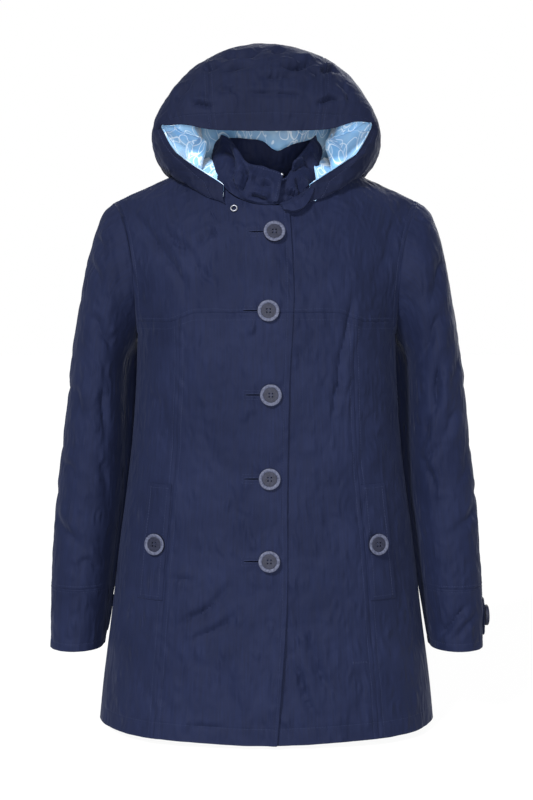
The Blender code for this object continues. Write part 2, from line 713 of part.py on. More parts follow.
def button_mesh():
    """A four-hole button: a turned disc with a raised rim and a sunk middle."""
    radius = BUTTON_DIAMETER / 2
    sunk_height = BUTTON_HEIGHT - BUTTON_SUNK
    profile = (
        (0.0, 0.0), (radius - BUTTON_UNDERCUT, 0.0), (radius, BUTTON_EDGE_ROUND),
        (radius, BUTTON_HEIGHT - BUTTON_EDGE_ROUND), (radius - BUTTON_EDGE_ROUND, BUTTON_HEIGHT),
        (radius - BUTTON_RIM, BUTTON_HEIGHT), (radius - BUTTON_RIM - BUTTON_SUNK, sunk_height),
        (0.0, sunk_height),
    )
    disc = bmesh.new()
    points = [disc.verts.new((out * MM, 0, up * MM)) for out, up in profile]
    edges = [disc.edges.new(pair) for pair in zip(points, points[1:])]
    bmesh.ops.spin(disc, geom=points + edges, cent=(0, 0, 0), axis=(0, 0, 1),
                   angle=2 * math.pi, steps=BUTTON_SIDES, use_duplicate=False)
    bmesh.ops.remove_doubles(disc, verts=disc.verts, dist=1e-6)
    bmesh.ops.recalc_face_normals(disc, faces=disc.faces)
    mesh = bpy.data.meshes.new("button_disc")
    disc.to_mesh(mesh)
    disc.free()
    blank = bpy.data.objects.new("button_blank", mesh)
    bpy.context.scene.collection.objects.link(blank)
    drill = bmesh.new()
    for k in range(4):
        angle = math.pi / 4 + k * math.pi / 2
        from_middle = BUTTON_HOLE_PITCH / math.sqrt(2) * MM
        spot = Matrix.Translation((from_middle * math.cos(angle), from_middle * math.sin(angle), 0))
        bmesh.ops.create_cone(drill, cap_ends=True, segments=HOLE_SIDES, radius1=BUTTON_HOLE / 2 * MM,
                              radius2=BUTTON_HOLE / 2 * MM, depth=4 * BUTTON_HEIGHT * MM, matrix=spot)
    bits = bpy.data.meshes.new("button_drill")
    drill.to_mesh(bits)
    drill.free()
    cutter = bpy.data.objects.new("button_drill", bits)
    bpy.context.scene.collection.objects.link(cutter)
    holes = blank.modifiers.new("holes", "BOOLEAN")
    holes.operation = "DIFFERENCE"
    holes.object = cutter
    bpy.context.view_layer.update()
    finished = bpy.data.meshes.new_from_object(
        blank.evaluated_get(bpy.context.evaluated_depsgraph_get()))
    for spare in (blank, cutter):
        bpy.data.objects.remove(spare)
    finished.shade_smooth()
    finished.set_sharp_from_angle(angle=SHARP_ANGLE)
    return finished


def make_buttons():
    """Five buttons down the front, one on each pocket welt and one on each cuff tab."""
    mesh = button_mesh()
    places = []
    for number, (x, height) in enumerate(FRONT_BUTTONS, start=1):
        share = -x / reach(height)
        outward = coat_outward(share, height, -1)
        point = coat_point(share, height, "front", -1)
        places.append((f"button_front_{number}", point, outward, OVERLAP_LIFT + BUTTON_LIFT))
    for side, hand in (("right", -1), ("left", 1)):
        outward = coat_outward(WELT_BUTTON_SHARE, WELT_BUTTON_Z, hand)
        point = coat_point(WELT_BUTTON_SHARE, WELT_BUTTON_Z, "front", hand)
        places.append((f"button_pocket_{side}", point, outward, WELT_LIFT + BUTTON_LIFT))
        turn = CUFF_TAB_TURNS[side][1] - CUFF_BUTTON_TURN_IN
        point = sleeve_point(turn, CUFF_BUTTON_ROW, hand)
        ahead = sleeve_point(turn + 2, CUFF_BUTTON_ROW, hand) - sleeve_point(turn - 2, CUFF_BUTTON_ROW, hand)
        down = (sleeve_point(turn, CUFF_BUTTON_ROW + 0.1, hand)
                - sleeve_point(turn, CUFF_BUTTON_ROW - 0.1, hand))
        outward = ahead.cross(down) * hand
        if outward.x * hand < 0:
            outward = -outward
        places.append((f"button_cuff_{side}", point, outward, CUFF_TAB_LIFT + 2 * BUTTON_LIFT))
    for name, point, outward, lift in places:
        button = put(name, mesh.copy(), SLATE, roughness=0.45)
        button.matrix_world = frame_on(point + outward.normalized() * lift, outward)


def make_welts():
    """A welt over each pocket mouth, doubled cloth on the side front."""
    heights = steps(WELT_TOP_Z, WELT_BOTTOM_Z, WELT_ROWS)
    for side, hand in (("right", -1), ("left", 1)):
        points = [[coat_point(share, height, "front", hand) for share in WELT_SHARES] for height in heights]
        welt = Surface(points, Vector((hand * INSIDE_FRONT_X, 0, WELT_BUTTON_Z)))
        welt.lift([WELT_LIFT] * len(WELT_SHARES))
        wall(f"pocket_welt_{side}", welt, NAVY, thickness=DOUBLED_CLOTH)


def make_metal_trims():
    """A ring lying on the front below the collar, and a small domed stud on the collar."""
    share = SNAP_X / -reach(SNAP_Z)
    outward = coat_outward(share, SNAP_Z, -1)
    ring = bmesh.new()
    bmesh.ops.create_circle(ring, segments=SNAP_WIRE_SIDES, radius=SNAP_WIRE * MM,
                            matrix=Matrix.Translation((SNAP_RADIUS * MM, 0, SNAP_WIRE * MM))
                            @ Matrix.Rotation(math.pi / 2, 4, "X"))
    bmesh.ops.spin(ring, geom=ring.verts[:] + ring.edges[:], cent=(0, 0, 0), axis=(0, 0, 1),
                   angle=2 * math.pi, steps=SNAP_STEPS, use_duplicate=False)
    bmesh.ops.remove_doubles(ring, verts=ring.verts, dist=1e-6)
    bmesh.ops.recalc_face_normals(ring, faces=ring.faces)
    mesh = bpy.data.meshes.new("snap_ring")
    ring.to_mesh(mesh)
    ring.free()
    mesh.shade_smooth()
    snap = put("snap_ring", mesh, STEEL, roughness=0.3, metallic=1.0)
    point = coat_point(share, SNAP_Z, "front", -1)
    snap.matrix_world = frame_on(point + outward.normalized() * (OVERLAP_LIFT + TRIM_LIFT), outward)

    stud = bmesh.new()
    bmesh.ops.create_cone(stud, cap_ends=True, segments=STUD_SIDES, radius1=STUD_RADIUS * MM,
                          radius2=STUD_RADIUS * STUD_TOP * MM, depth=STUD_HEIGHT * MM,
                          matrix=Matrix.Translation((0, 0, STUD_HEIGHT / 2 * MM)))
    mesh = bpy.data.meshes.new("collar_stud")
    stud.to_mesh(mesh)
    stud.free()
    cap = put("collar_stud", mesh, STEEL, roughness=0.3, metallic=1.0)
    point = collar_point(STUD_TURN, STUD_RISE)
    across = collar_point(STUD_TURN + 1, STUD_RISE) - collar_point(STUD_TURN - 1, STUD_RISE)
    upward = collar_point(STUD_TURN, STUD_RISE + 0.05) - collar_point(STUD_TURN, STUD_RISE - 0.05)
    outward = across.cross(upward)
    cap.matrix_world = frame_on(point + outward.normalized() * TRIM_LIFT, outward)


def main():
    """Clears the scene and builds the coat."""
    for item in list(bpy.data.objects):
        bpy.data.objects.remove(item)
    make_fronts()
    make_back()
    make_sleeves()
    make_collar()
    make_hood()
    make_welts()
    make_buttons()
    make_metal_trims()


main()
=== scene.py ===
import math

import bpy
import numpy as np
from mathutils import Matrix, Vector, noise


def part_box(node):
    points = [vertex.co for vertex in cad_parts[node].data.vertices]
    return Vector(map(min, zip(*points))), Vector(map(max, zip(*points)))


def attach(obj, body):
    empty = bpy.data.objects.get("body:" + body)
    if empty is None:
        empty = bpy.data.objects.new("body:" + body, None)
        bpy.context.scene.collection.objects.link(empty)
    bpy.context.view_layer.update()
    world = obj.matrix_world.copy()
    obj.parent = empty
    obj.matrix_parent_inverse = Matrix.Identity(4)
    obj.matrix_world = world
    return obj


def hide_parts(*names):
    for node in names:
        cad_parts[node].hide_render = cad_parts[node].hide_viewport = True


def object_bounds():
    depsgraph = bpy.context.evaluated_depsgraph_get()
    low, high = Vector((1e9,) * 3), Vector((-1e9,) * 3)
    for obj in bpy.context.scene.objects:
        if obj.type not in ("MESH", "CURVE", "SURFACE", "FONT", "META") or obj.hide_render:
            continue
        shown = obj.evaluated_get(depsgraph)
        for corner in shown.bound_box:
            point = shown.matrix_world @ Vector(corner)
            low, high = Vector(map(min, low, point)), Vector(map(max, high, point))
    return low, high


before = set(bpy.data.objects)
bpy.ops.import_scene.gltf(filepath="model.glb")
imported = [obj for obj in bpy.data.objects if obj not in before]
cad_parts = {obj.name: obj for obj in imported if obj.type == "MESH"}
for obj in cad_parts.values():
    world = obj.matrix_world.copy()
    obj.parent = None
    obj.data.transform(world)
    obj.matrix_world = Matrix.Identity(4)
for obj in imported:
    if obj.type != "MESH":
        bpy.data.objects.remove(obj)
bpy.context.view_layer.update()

bpy.ops.object.select_all(action="DESELECT")

# ---- Fronts ------------------------------------------------------------------------------------
# Yoke, centre front and side front on each side, cut from navy showerproof cotton and joined by flat
# seams with a row of topstitching on either side. The wearer's right front laps over the left one.
# Sizes are in millimetres, and the meshes are made in metres.
MM = 0.001
CLOTH = 1.2
HALF_GAP = 0.15
SHARP_ANGLE = math.radians(40)

SHOULDER_TIP_X, SHOULDER_TIP_Z = 205.0, -60.0
UNDERARM_X, UNDERARM_Z = 174.0, -235.0
ARMHOLE_MIDDLE = (SHOULDER_TIP_Z + UNDERARM_Z) / 2
ARMHOLE_HALF = (SHOULDER_TIP_Z - UNDERARM_Z) / 2
ARMHOLE_DEPTHS = {"front": 72.0, "back": 70.0}
ARMHOLE_SOFTNESS = 8.0
ARMHOLE_DIP = 7.5
BUST_Z = -245.0
HEM_Z = -752.0
FRONT_HEM_DROP = 4.0
NECK_SHARE = 72.0 / SHOULDER_TIP_X
NECK_DROPS = {"front": 70.0, "back": 22.0}
NECK_CROWN = 20.0
YOKE_Z, YOKE_SIDE_DROP = -206.0, 12.3
CHEST_ROLL = 1.9
SIDE_ROUNDNESS = 3.2
PRINCESS_SHARE = 0.64
UNDER_EDGE_X = 22.0
OVERLAP_LIFT = 2.8
EDGE_CURL = 3.0

BODY = (("height", "half_width", "front", "back"), (
    (-760, 228, 162, 150),
    (-700, 222, 157, 146),
    (-615, 211, 152, 138),
    (-505, 198, 147, 128),
    (-440, 189, 144, 121),
    (-370, 181, 143, 116),
    (-300, 176, 144, 115),
    (-235, 174, 144, 115),
))
FRONT_EDGE = (("height", "past_middle"), (
    (-757, 13), (-667, 20), (-565, 26), (-438, 26), (-290, 29), (-196, 34), (-143, 33), (-80, 29),
))


def read(table, column, place):
    """One size of a section table at any place, running smoothly between its rows."""
    columns, rows = table
    rows = np.array(rows, float)
    at, sizes = rows[:, 0], rows[:, columns.index(column)]
    slopes = np.empty(len(at))
    slopes[1:-1] = (sizes[2:] - sizes[:-2]) / (at[2:] - at[:-2])
    slopes[0] = (sizes[1] - sizes[0]) / (at[1] - at[0])
    slopes[-1] = (sizes[-1] - sizes[-2]) / (at[-1] - at[-2])
    place = np.clip(place, at[0], at[-1])
    k = np.clip(np.searchsorted(at, place, side="right") - 1, 0, len(at) - 2)
    span = at[k + 1] - at[k]
    t = (place - at[k]) / span
    start, end, leave, arrive = sizes[k], sizes[k + 1], slopes[k] * span, slopes[k + 1] * span
    return (start + leave * t + (3 * (end - start) - 2 * leave - arrive) * t ** 2
            + (2 * (start - end) + leave + arrive) * t ** 3)


def ease(start, end, value):
    """Rises softly from 0 at the start to 1 at the end."""
    share = np.clip((value - start) / (end - start), 0.0, 1.0)
    return share * share * (3 - 2 * share)


def bump(value, width):
    """A soft mound of height 1 about nought."""
    return np.exp(-(value / width) ** 2)


def shoulder_line(share):
    """Height of the line over the shoulder, from the middle of the neck to the tip."""
    share = np.abs(share)
    return np.where(share < NECK_SHARE, NECK_CROWN * (1 - (share / NECK_SHARE) ** 2),
                    SHOULDER_TIP_Z * (share - NECK_SHARE) / (1 - NECK_SHARE))


def top_edge(share, face):
    """Height of a panel's top edge: round the neck, then along the shoulder seam."""
    share = np.abs(share)
    neck = -NECK_DROPS[face] * np.sqrt(np.maximum(0, 1 - (share / NECK_SHARE) ** 2))
    return np.where(share < NECK_SHARE, neck, shoulder_line(share))


def yoke_line(share):
    """Height of the seam below the front yoke."""
    return YOKE_Z - YOKE_SIDE_DROP * ease(0.5, 0.74, np.abs(share))


def reach(height):
    """Half the coat's width at a height."""
    rise = np.clip((height - UNDERARM_Z) / (SHOULDER_TIP_Z - UNDERARM_Z), 0, 1)
    return read(BODY, "half_width", height) + (SHOULDER_TIP_X - UNDERARM_X) * rise ** 2


def armhole_dip(height):
    """How far the armhole seam curves in."""
    fall = np.clip((SHOULDER_TIP_Z - height) / (SHOULDER_TIP_Z - UNDERARM_Z), 0, 1)
    return ARMHOLE_DIP * np.sin(math.pi * np.sqrt(fall))


def side_depth(height, face, share=1.0):
    """Depth of a panel's outer edge on the armhole's oval."""
    place = np.clip((height - ARMHOLE_MIDDLE) / ARMHOLE_HALF, -1, 1)
    return ARMHOLE_DEPTHS[face] * (1 - place ** 2) ** (0.5 + ARMHOLE_SOFTNESS * (1 - share))


def coat_depth(share, height, face):
    """How far the coat stands out from the middle plane."""
    share = np.minimum(np.abs(share), 1.0)
    top = shoulder_line(share)
    fall = np.clip((top - height) / (top - BUST_Z), 0, 1)
    middle = read(BODY, face, height) * np.sqrt(CHEST_ROLL * fall + (1 - CHEST_ROLL) * fall ** 2)
    round_off = np.sqrt(1 - share ** SIDE_ROUNDNESS)
    return HALF_GAP + middle * round_off + side_depth(height, face, share) * (1 - round_off) ** 2


def coat_points(share, height, face, hand):
    """Points on the coat's outer side. Hand is 1 on the wearer's left and -1 on the right."""
    x = hand * (share * reach(height) - armhole_dip(height) * share ** 6)
    depth = coat_depth(share, height, face)
    return np.stack([x, -depth if face == "front" else depth, height], axis=-1)


SEAM_OFFSETS = (0.7, 1.6, 2.8, 4.2, 5.4, 6.6, 8.2, 10.5)
LEAST_GAP = 0.6


def net_lines(start, end, step, seams=()):
    """Places for the lines of a net, a step apart and closer on both sides of a seam."""
    kept = [start, end] + [seam for seam in seams if start < seam < end]
    near = [seam + side * offset for seam in seams for offset in SEAM_OFFSETS for side in (-1, 1)]
    for place in near + list(np.linspace(start, end, round((end - start) / step) + 1)):
        if start < place < end and min(abs(place - other) for other in kept) > LEAST_GAP:
            kept.append(place)
    return np.array(sorted(kept))


class Net:
    """A net of points on a cloth's outer side, with its line places and the direction out of it."""

    def __init__(self, points, rows, columns, inside, around=False):
        self.points, self.rows, self.columns, self.around = points, rows, columns, around
        if around:
            along = np.roll(points, -1, axis=1) - np.roll(points, 1, axis=1)
        else:
            along = np.gradient(points, axis=1)
        out = np.cross(along, np.gradient(points, axis=0))
        out /= np.linalg.norm(out, axis=-1, keepdims=True) + 1e-9
        i, j = len(rows) // 2, len(columns) // 2
        if np.dot(out[i, j], points[i, j] - np.array(inside)) < 0:
            out = -out
        self.out = out

    def raise_by(self, heights):
        """Moves the cloth out by a height at each point."""
        self.points = self.points + self.out * heights[..., None]

    def cut(self, rows=slice(None), columns=slice(None)):
        """A panel cut from the cloth."""
        piece = Net.__new__(Net)
        piece.points = self.points[rows, columns].copy()
        piece.out = self.out[rows, columns].copy()
        piece.rows, piece.columns, piece.around = self.rows[rows], self.columns[columns], self.around
        return piece

    def at(self, row, column):
        """Points and directions at places between the net's lines."""
        i = np.interp(row, self.rows, np.arange(len(self.rows)))
        j = np.interp(column, self.columns, np.arange(len(self.columns)))
        i0 = np.minimum(i.astype(int), len(self.rows) - 2)
        j0 = np.minimum(j.astype(int), len(self.columns) - 2)
        u, v = (i - i0)[..., None], (j - j0)[..., None]
        return [net[i0, j0] * (1 - u) * (1 - v) + net[i0 + 1, j0] * u * (1 - v)
                + net[i0, j0 + 1] * (1 - u) * v + net[i0 + 1, j0 + 1] * u * v
                for net in (self.points, self.out)]

    def seat(self, x, z):
        """The point and direction out of the cloth where it passes a place seen from the front."""
        gap = np.hypot(self.points[..., 0] - x, self.points[..., 2] - z)
        i, j = np.unravel_index(np.argmin(gap), gap.shape)
        point, out = self.points[i, j].copy(), self.out[i, j]
        dx, dz = x - point[0], z - point[2]
        point += (dx, -(out[0] * dx + out[2] * dz) / out[1], dz)
        return Vector(point), Vector(out)


def uneven(points, size, strength, upright=1.0, seed=0.0):
    """The soft unevenness of cloth, in lumps of one size that are drawn out upright."""
    scale = np.array([1 / size, 1 / size, 1 / (size * upright)])
    places = points.reshape(-1, 3) * scale + seed
    return strength * np.array([noise.noise(place) for place in places.tolist()]).reshape(points.shape[:-1])


FOLD_SHARPNESS, FOLD_MEAN = 0.7, 0.3


def crumpled(points, folds):
    """Sharp little folds of several sizes that wander over the cloth, as in crumpled cotton.

    Each row gives the folds' size and height, how far they are drawn out upright, and a seed.
    """
    return sum(strength * (np.abs(uneven(points, size, 1.0, upright, seed)) ** FOLD_SHARPNESS - FOLD_MEAN)
               for size, strength, upright, seed in folds)


CREASE_DEPTH = 2.1
CREASE_SWAY, CREASE_WAVE = 0.25, 9
TROUGH_DEPTH, TROUGH_SHARPNESS = 0.6, 0.55
RIDGE_HEIGHT, RIDGE_PLACE, RIDGE_WIDTH = 0.6, 1.9, 1.2


def creases(net, table, across=0, face=(0, -1, 0)):
    """Soft troughs with a low ridge along one side, on the cloth that faces one way.

    Each row gives where a crease starts and ends, how far it bows, its width and its depth.
    """
    heights = np.zeros(net.points.shape[:-1])
    facing = ease(0.1, 0.5, net.out @ np.array(face, float))
    for start, start_z, end, end_z, bow, width, depth in table:
        run, rise = end - start, end_z - start_z
        length = math.hypot(run, rise)
        dx, dz = net.points[..., across] - start, net.points[..., 2] - start_z
        along = (dx * run + dz * rise) / length ** 2
        beside = (dz * run - dx * rise) / length - bow * 4 * along * (1 - along)
        beside = beside + CREASE_SWAY * width * np.sin(along * CREASE_WAVE + start)
        ends = ease(-0.05, 0.3, along) * ease(-0.05, 0.4, 1 - along)
        trough = np.exp(-np.abs(beside) / (TROUGH_SHARPNESS * width)) + bump(beside, width)
        ridge = bump(beside - RIDGE_PLACE * width, RIDGE_WIDTH * width)
        heights += CREASE_DEPTH * depth * ends * (RIDGE_HEIGHT * ridge - TROUGH_DEPTH * trough)
    return heights * facing


SEAM_GROOVE, SEAM_RIDGE, STITCH_SINK = 0.5, 0.2, 0.35


def seam_relief(distance, stitched=5.4):
    """A joined seam: sunk where the pieces meet, raised over its turnings, and drawn in by stitches."""
    far = np.abs(distance)
    return (SEAM_RIDGE * bump(far - 0.55 * stitched, 0.4 * stitched) - SEAM_GROOVE * bump(far, 1.0)
            - STITCH_SINK * bump(far - stitched, 1.1))


PUCKER_SIZE, PUCKER_REACH = 10.0, 9.0


def puckers(net, distance, strength=0.5, seed=0.0):
    """Small gathers where a seam's thread draws the cloth."""
    return uneven(net.points, PUCKER_SIZE, strength, seed=seed) * np.exp(-np.abs(distance) / PUCKER_REACH)


def feed(node, inputs):
    """Sets a node's inputs, and links those whose value is another node's output."""
    for name, value in inputs.items():
        if isinstance(value, bpy.types.NodeSocket):
            node.id_data.links.new(value, node.inputs[name])
        else:
            node.inputs[name].default_value = value


def add_node(tree, kind, output, inputs, **settings):
    """Adds a node with its settings and inputs, and gives one of its outputs."""
    node = tree.nodes.new("ShaderNode" + kind)
    for name, value in settings.items():
        setattr(node, name, value)
    feed(node, inputs)
    return node.outputs[output]


def add_ramp(tree, value, start, first, end, last):
    """Turns a value into a shade between two colours, and gives the shade."""
    ramp = tree.nodes.new("ShaderNodeValToRGB")
    for element, place, colour in zip(ramp.color_ramp.elements, (start, end), (first, last)):
        element.position = place
        element.color = (*colour, 1)
    feed(ramp, {"Fac": value})
    return ramp.outputs["Color"]


def start_material(name, surface):
    """A new material, its node tree and its shader, set with what is even all over the surface."""
    material = bpy.data.materials.new(name)
    material.use_nodes = True
    shader = material.node_tree.nodes["Principled BSDF"]
    feed(shader, surface)
    return material, material.node_tree, shader


def cloth_colour():
    """Navy showerproof cotton: a fine weave with slubs, a little cloudy and crumpled, with a faint sheen."""
    material, tree, shader = start_material("navy_cotton", {
        "Sheen Weight": 0.04, "Sheen Roughness": 0.5, "Sheen Tint": (0.35, 0.42, 0.75, 1),
        "Specular IOR Level": 0.055})
    place = tree.nodes.new("ShaderNodeTexCoord").outputs
    clouds = add_node(tree, "TexNoise", "Fac",
                      {"Vector": place["Object"], "Scale": 16, "Detail": 5, "Roughness": 0.6})
    tone = add_ramp(tree, clouds, 0.3, (0.0037, 0.0056, 0.0178), 0.72, (0.0058, 0.0083, 0.0243))
    thread_way = add_node(tree, "Mapping", "Vector", {"Vector": place["UV"], "Scale": (480, 22, 1)})
    slubs = add_node(tree, "TexNoise", "Fac", {"Vector": thread_way, "Scale": 1, "Detail": 2})
    fleck = add_node(tree, "Mix", "Result", {"Factor": 0.34, "A": tone, "B": slubs},
                     data_type="RGBA", blend_type="OVERLAY")
    rough = add_node(tree, "MapRange", "Result", {"Value": slubs, "To Min": 0.62, "To Max": 0.8})
    weave = add_node(tree, "TexWave", "Fac", {"Vector": place["UV"], "Scale": 320, "Distortion": 1.5},
                     bands_direction="DIAGONAL")
    upright = add_node(tree, "Mapping", "Vector", {"Vector": place["Object"], "Scale": (90, 90, 46)})
    crumple = add_node(tree, "TexNoise", "Fac", {"Vector": upright, "Scale": 1, "Detail": 5},
                       noise_type="RIDGED_MULTIFRACTAL")
    soft = add_node(tree, "Bump", "Normal", {"Height": crumple, "Strength": 1.0, "Distance": 0.0035})
    fine = add_node(tree, "Bump", "Normal",
                    {"Height": weave, "Normal": soft, "Strength": 0.25, "Distance": 0.0002})
    feed(shader, {"Base Color": fleck, "Roughness": rough, "Normal": fine})
    return material


navy_cotton = cloth_colour()


def add_piece(name, mesh, material):
    """Puts a mesh of one material into the scene."""
    mesh.materials.append(material)
    piece = bpy.data.objects.new(name, mesh)
    bpy.context.scene.collection.objects.link(piece)
    return piece


def run_of(points, axis):
    """How far each of a net's lines lies from the first one, measured along the cloth."""
    lengths = np.linalg.norm(np.diff(points, axis=axis), axis=-1).mean(axis=1 - axis)
    return np.concatenate([[0], np.cumsum(lengths)])


def make_cloth(name, net, material=navy_cotton, wall=CLOTH, round_over=0.5):
    """A closed shell of cloth with rounded edges, and a UV map measured in metres along the cloth."""
    points, out, around = net.points, net.out, net.around
    rows, columns = points.shape[:2]
    verts = [points.reshape(-1, 3), (points - out * wall).reshape(-1, 3)]
    index = np.arange(rows * columns).reshape(rows, columns)
    here = np.arange(columns if around else columns - 1)
    right = (here + 1) % columns
    squares = [index[:-1][:, here], index[:-1][:, right], index[1:][:, right], index[1:][:, here]]
    outer_faces = np.stack(squares, -1).reshape(-1, 4)
    faces = [outer_faces, outer_faces[:, ::-1] + rows * columns]
    edges = [(index[0], points[0] - points[1], True), (index[-1], points[-1] - points[-2], False)]
    if not around:
        edges.append((index[:, 0], points[:, 0] - points[:, 1], False))
        edges.append((index[:, -1], points[:, -1] - points[:, -2], True))
    count = 2 * rows * columns
    for line, away, flip in edges:
        away = away / (np.linalg.norm(away, axis=-1, keepdims=True) + 1e-9)
        verts.append((verts[0][line] + verts[1][line]) / 2 + away * wall * round_over)
        here = np.arange(len(line) if around else len(line) - 1)
        after = (here + 1) % len(line)
        rim = count + np.arange(len(line))
        count += len(line)
        under = line + rows * columns
        for strip in ([line[here], rim[here], rim[after], line[after]],
                      [rim[here], under[here], under[after], rim[after]]):
            strip = np.stack(strip, -1)
            faces.append(strip[:, ::-1] if flip else strip)
    faces = np.concatenate(faces)
    i, k = rows // 2, columns // 2
    normal = np.cross(points[i, k + 1] - points[i, k], points[i + 1, k] - points[i, k])
    if np.dot(normal, out[i, k]) < 0:
        faces = faces[:, ::-1]
    mesh = bpy.data.meshes.new(name)
    mesh.from_pydata((np.concatenate(verts) * MM).tolist(), [], faces.tolist())
    flat = np.stack(np.meshgrid(run_of(points, 1), run_of(points, 0)), -1).reshape(-1, 2) * MM
    place = np.concatenate([flat, flat] + [flat[line] for line, _, _ in edges])
    corners = np.empty(len(mesh.loops), int)
    mesh.loops.foreach_get("vertex_index", corners)
    uv = mesh.uv_layers.new(name="cloth")
    uv.data.foreach_set("uv", place[corners].astype(np.float32).ravel())
    mesh.shade_smooth()
    mesh.set_sharp_from_angle(angle=SHARP_ANGLE)
    return add_piece(name, mesh, material)


def carry(piece):
    """The piece rides on the coat."""
    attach(piece, "root")


def wear(piece, node):
    """The piece is carried in place of its plain solid."""
    carry(piece)
    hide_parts(node)


STITCH, STITCH_GAP = 2.6, 0.9
STITCH_WIDTH, STITCH_HEIGHT = 0.62, 0.4
sewn = []


def sew(net, row, column):
    """Lays a row of stitches along places on a net."""
    row, column = np.broadcast_arrays(np.asarray(row, float), np.asarray(column, float))
    points, out = net.at(row, column)
    run = np.concatenate([[0], np.cumsum(np.linalg.norm(np.diff(points, axis=0), axis=-1))])
    middles = np.arange(STITCH / 2, run[-1], STITCH + STITCH_GAP)
    ends = [np.stack([np.interp(middles + side * STITCH / 2, run, points[:, k]) for k in range(3)], -1)
            for side in (-1, 1)]
    normals = np.stack([np.interp(middles, run, out[:, k]) for k in range(3)], -1)
    sewn.extend(zip(ends[0], ends[1], normals))


def make_stitches(name, material):
    """Joins all the stitches laid since the last call into one mesh, each stitch a small lozenge."""
    starts = np.array([stitch[0] for stitch in sewn])
    stops = np.array([stitch[1] for stitch in sewn])
    out = np.array([stitch[2] for stitch in sewn])
    sewn.clear()
    middle = (starts + stops) / 2
    side = np.cross(stops - starts, out)
    side /= np.linalg.norm(side, axis=-1, keepdims=True) + 1e-9
    corners = np.stack([starts, middle + side * STITCH_WIDTH / 2, stops, middle - side * STITCH_WIDTH / 2,
                        middle + out * STITCH_HEIGHT, middle - out * STITCH_HEIGHT], axis=1)
    pattern = [(k, (k + 1) % 4, 4) for k in range(4)] + [((k + 1) % 4, k, 5) for k in range(4)]
    faces = (np.array(pattern)[None] + 6 * np.arange(len(starts))[:, None, None]).reshape(-1, 3)
    mesh = bpy.data.meshes.new(name)
    mesh.from_pydata((corners.reshape(-1, 3) * MM).tolist(), [], faces.tolist())
    carry(add_piece(name, mesh, material))


def thread_and_slit_shade_colour(name, dark, light, gloss):
    """Twisted sewing thread, in two tones that run into each other; used as well for the near-black painted
    shade in the buttonhole slits.
    """
    material, tree, shader = start_material(name, {"Roughness": 0.6, "Specular IOR Level": gloss})
    place = tree.nodes.new("ShaderNodeTexCoord").outputs["Object"]
    twist = add_node(tree, "TexNoise", "Fac", {"Vector": place, "Scale": 700})
    feed(shader, {"Base Color": add_ramp(tree, twist, 0, dark, 1, light)})
    return material


navy_thread = thread_and_slit_shade_colour("navy_thread", (0.008, 0.011, 0.027), (0.028, 0.036, 0.076), 0.1)

STEP = 3.3
NECK_COLUMNS = 65.0
ACROSS = 180.0
PRINCESS = PRINCESS_SHARE * ACROSS
EDGE = 30.0
YOKE_ROWS = 190.0
ARMHOLE_FOOT = 16.7
YOKE_SEAM_Z = ARMHOLE_MIDDLE + ARMHOLE_HALF * math.cos(0.8 * math.pi)
FRONT_ROWS = YOKE_ROWS + YOKE_SEAM_Z - HEM_Z
EDGE_STITCH, HEM_STITCH, TOPSTITCH = 6.4, 20.0, 5.4
ARMHOLE_STITCH = 6.0
# The soft lumps (size, height, drawn out upright), and the little folds
FRONT_LUMPS = (70, 2.4, 1.8)
FRONT_FOLDS = ((30, 3.0, 1.5, 7.3), (15, 1.1, 1.5, 1.9))
CALM_UNDER_WELT = 0.9

# Columns: where the crease starts (x, z) and ends (x, z), bow, width, depth
FRONT_CREASES = (
    (-178, -76, -97, -192, 7, 7, 2.6),
    (-140, -96, -84, -150, 5, 5, 1.8),
    (-104, -140, -60, -176, 4, 4, 1.4),
    (-160, -66, -118, -150, 5, 8, 1.2),
    (-102, -124, -48, -98, 3, 4.4, 1.7),
    (-84, -92, -52, -84, 2, 4.0, 1.0),
    (-116, -608, -40, -545, -6, 4.6, 1.8),
    (-104, -626, -26, -581, -5, 4.6, 1.6),
    (-125, -548, -86, -549, 2, 4, 1.0),
    (-41, -457, -24, -470, 1, 4, 0.9),
    (-98, -736, -52, -734, 2, 4, 1.0),
    (-86, -330, -70, -410, 4, 9, 1.0),
    (-60, -640, -48, -730, 5, 9, 1.2),
    (-150, -300, -128, -380, 5, 9, 1.1),
    (-30, -250, -6, -226, 2, 5, 0.8),
    (-26, -352, -10, -330, 2, 5, 0.8),
    (115, -176, 93, -336, -7, 5, 2.0),
    (98, -280, 84, -352, -3, 4, 1.5),
    (34, -247, 47, -274, 2, 4, 1.1),
    (60, -618, 84, -700, -4, 5, 1.9),
    (34, -640, 71, -736, -4, 5, 2.2),
    (52, -600, 60, -650, -3, 4, 1.5),
    (120, -656, 121, -726, 2, 5, 1.0),
    (176, -80, 140, -190, -6, 10, 1.6),
    (60, -420, 92, -530, 6, 10, 1.0),
    (40, -112, 60, -92, 2, 4, 1.0),
    (138, -330, 120, -430, -5, 8, 1.0),
    (24, -122, 34, -160, 2, 5, 1.0),
)


def side_height(rows):
    """Height at the side seam or armhole of each row of a front."""
    above = ARMHOLE_MIDDLE + ARMHOLE_HALF * np.cos(0.8 * math.pi * np.clip(rows / YOKE_ROWS, 0, 1))
    foot = np.clip((rows - YOKE_ROWS) / ARMHOLE_FOOT, 0, 1)
    corner = ARMHOLE_MIDDLE + ARMHOLE_HALF * np.cos(math.pi * (0.8 + 0.2 * foot))
    below = UNDERARM_Z - (rows - YOKE_ROWS - ARMHOLE_FOOT)
    return np.where(rows <= YOKE_ROWS, above, np.where(foot < 1, corner, below))


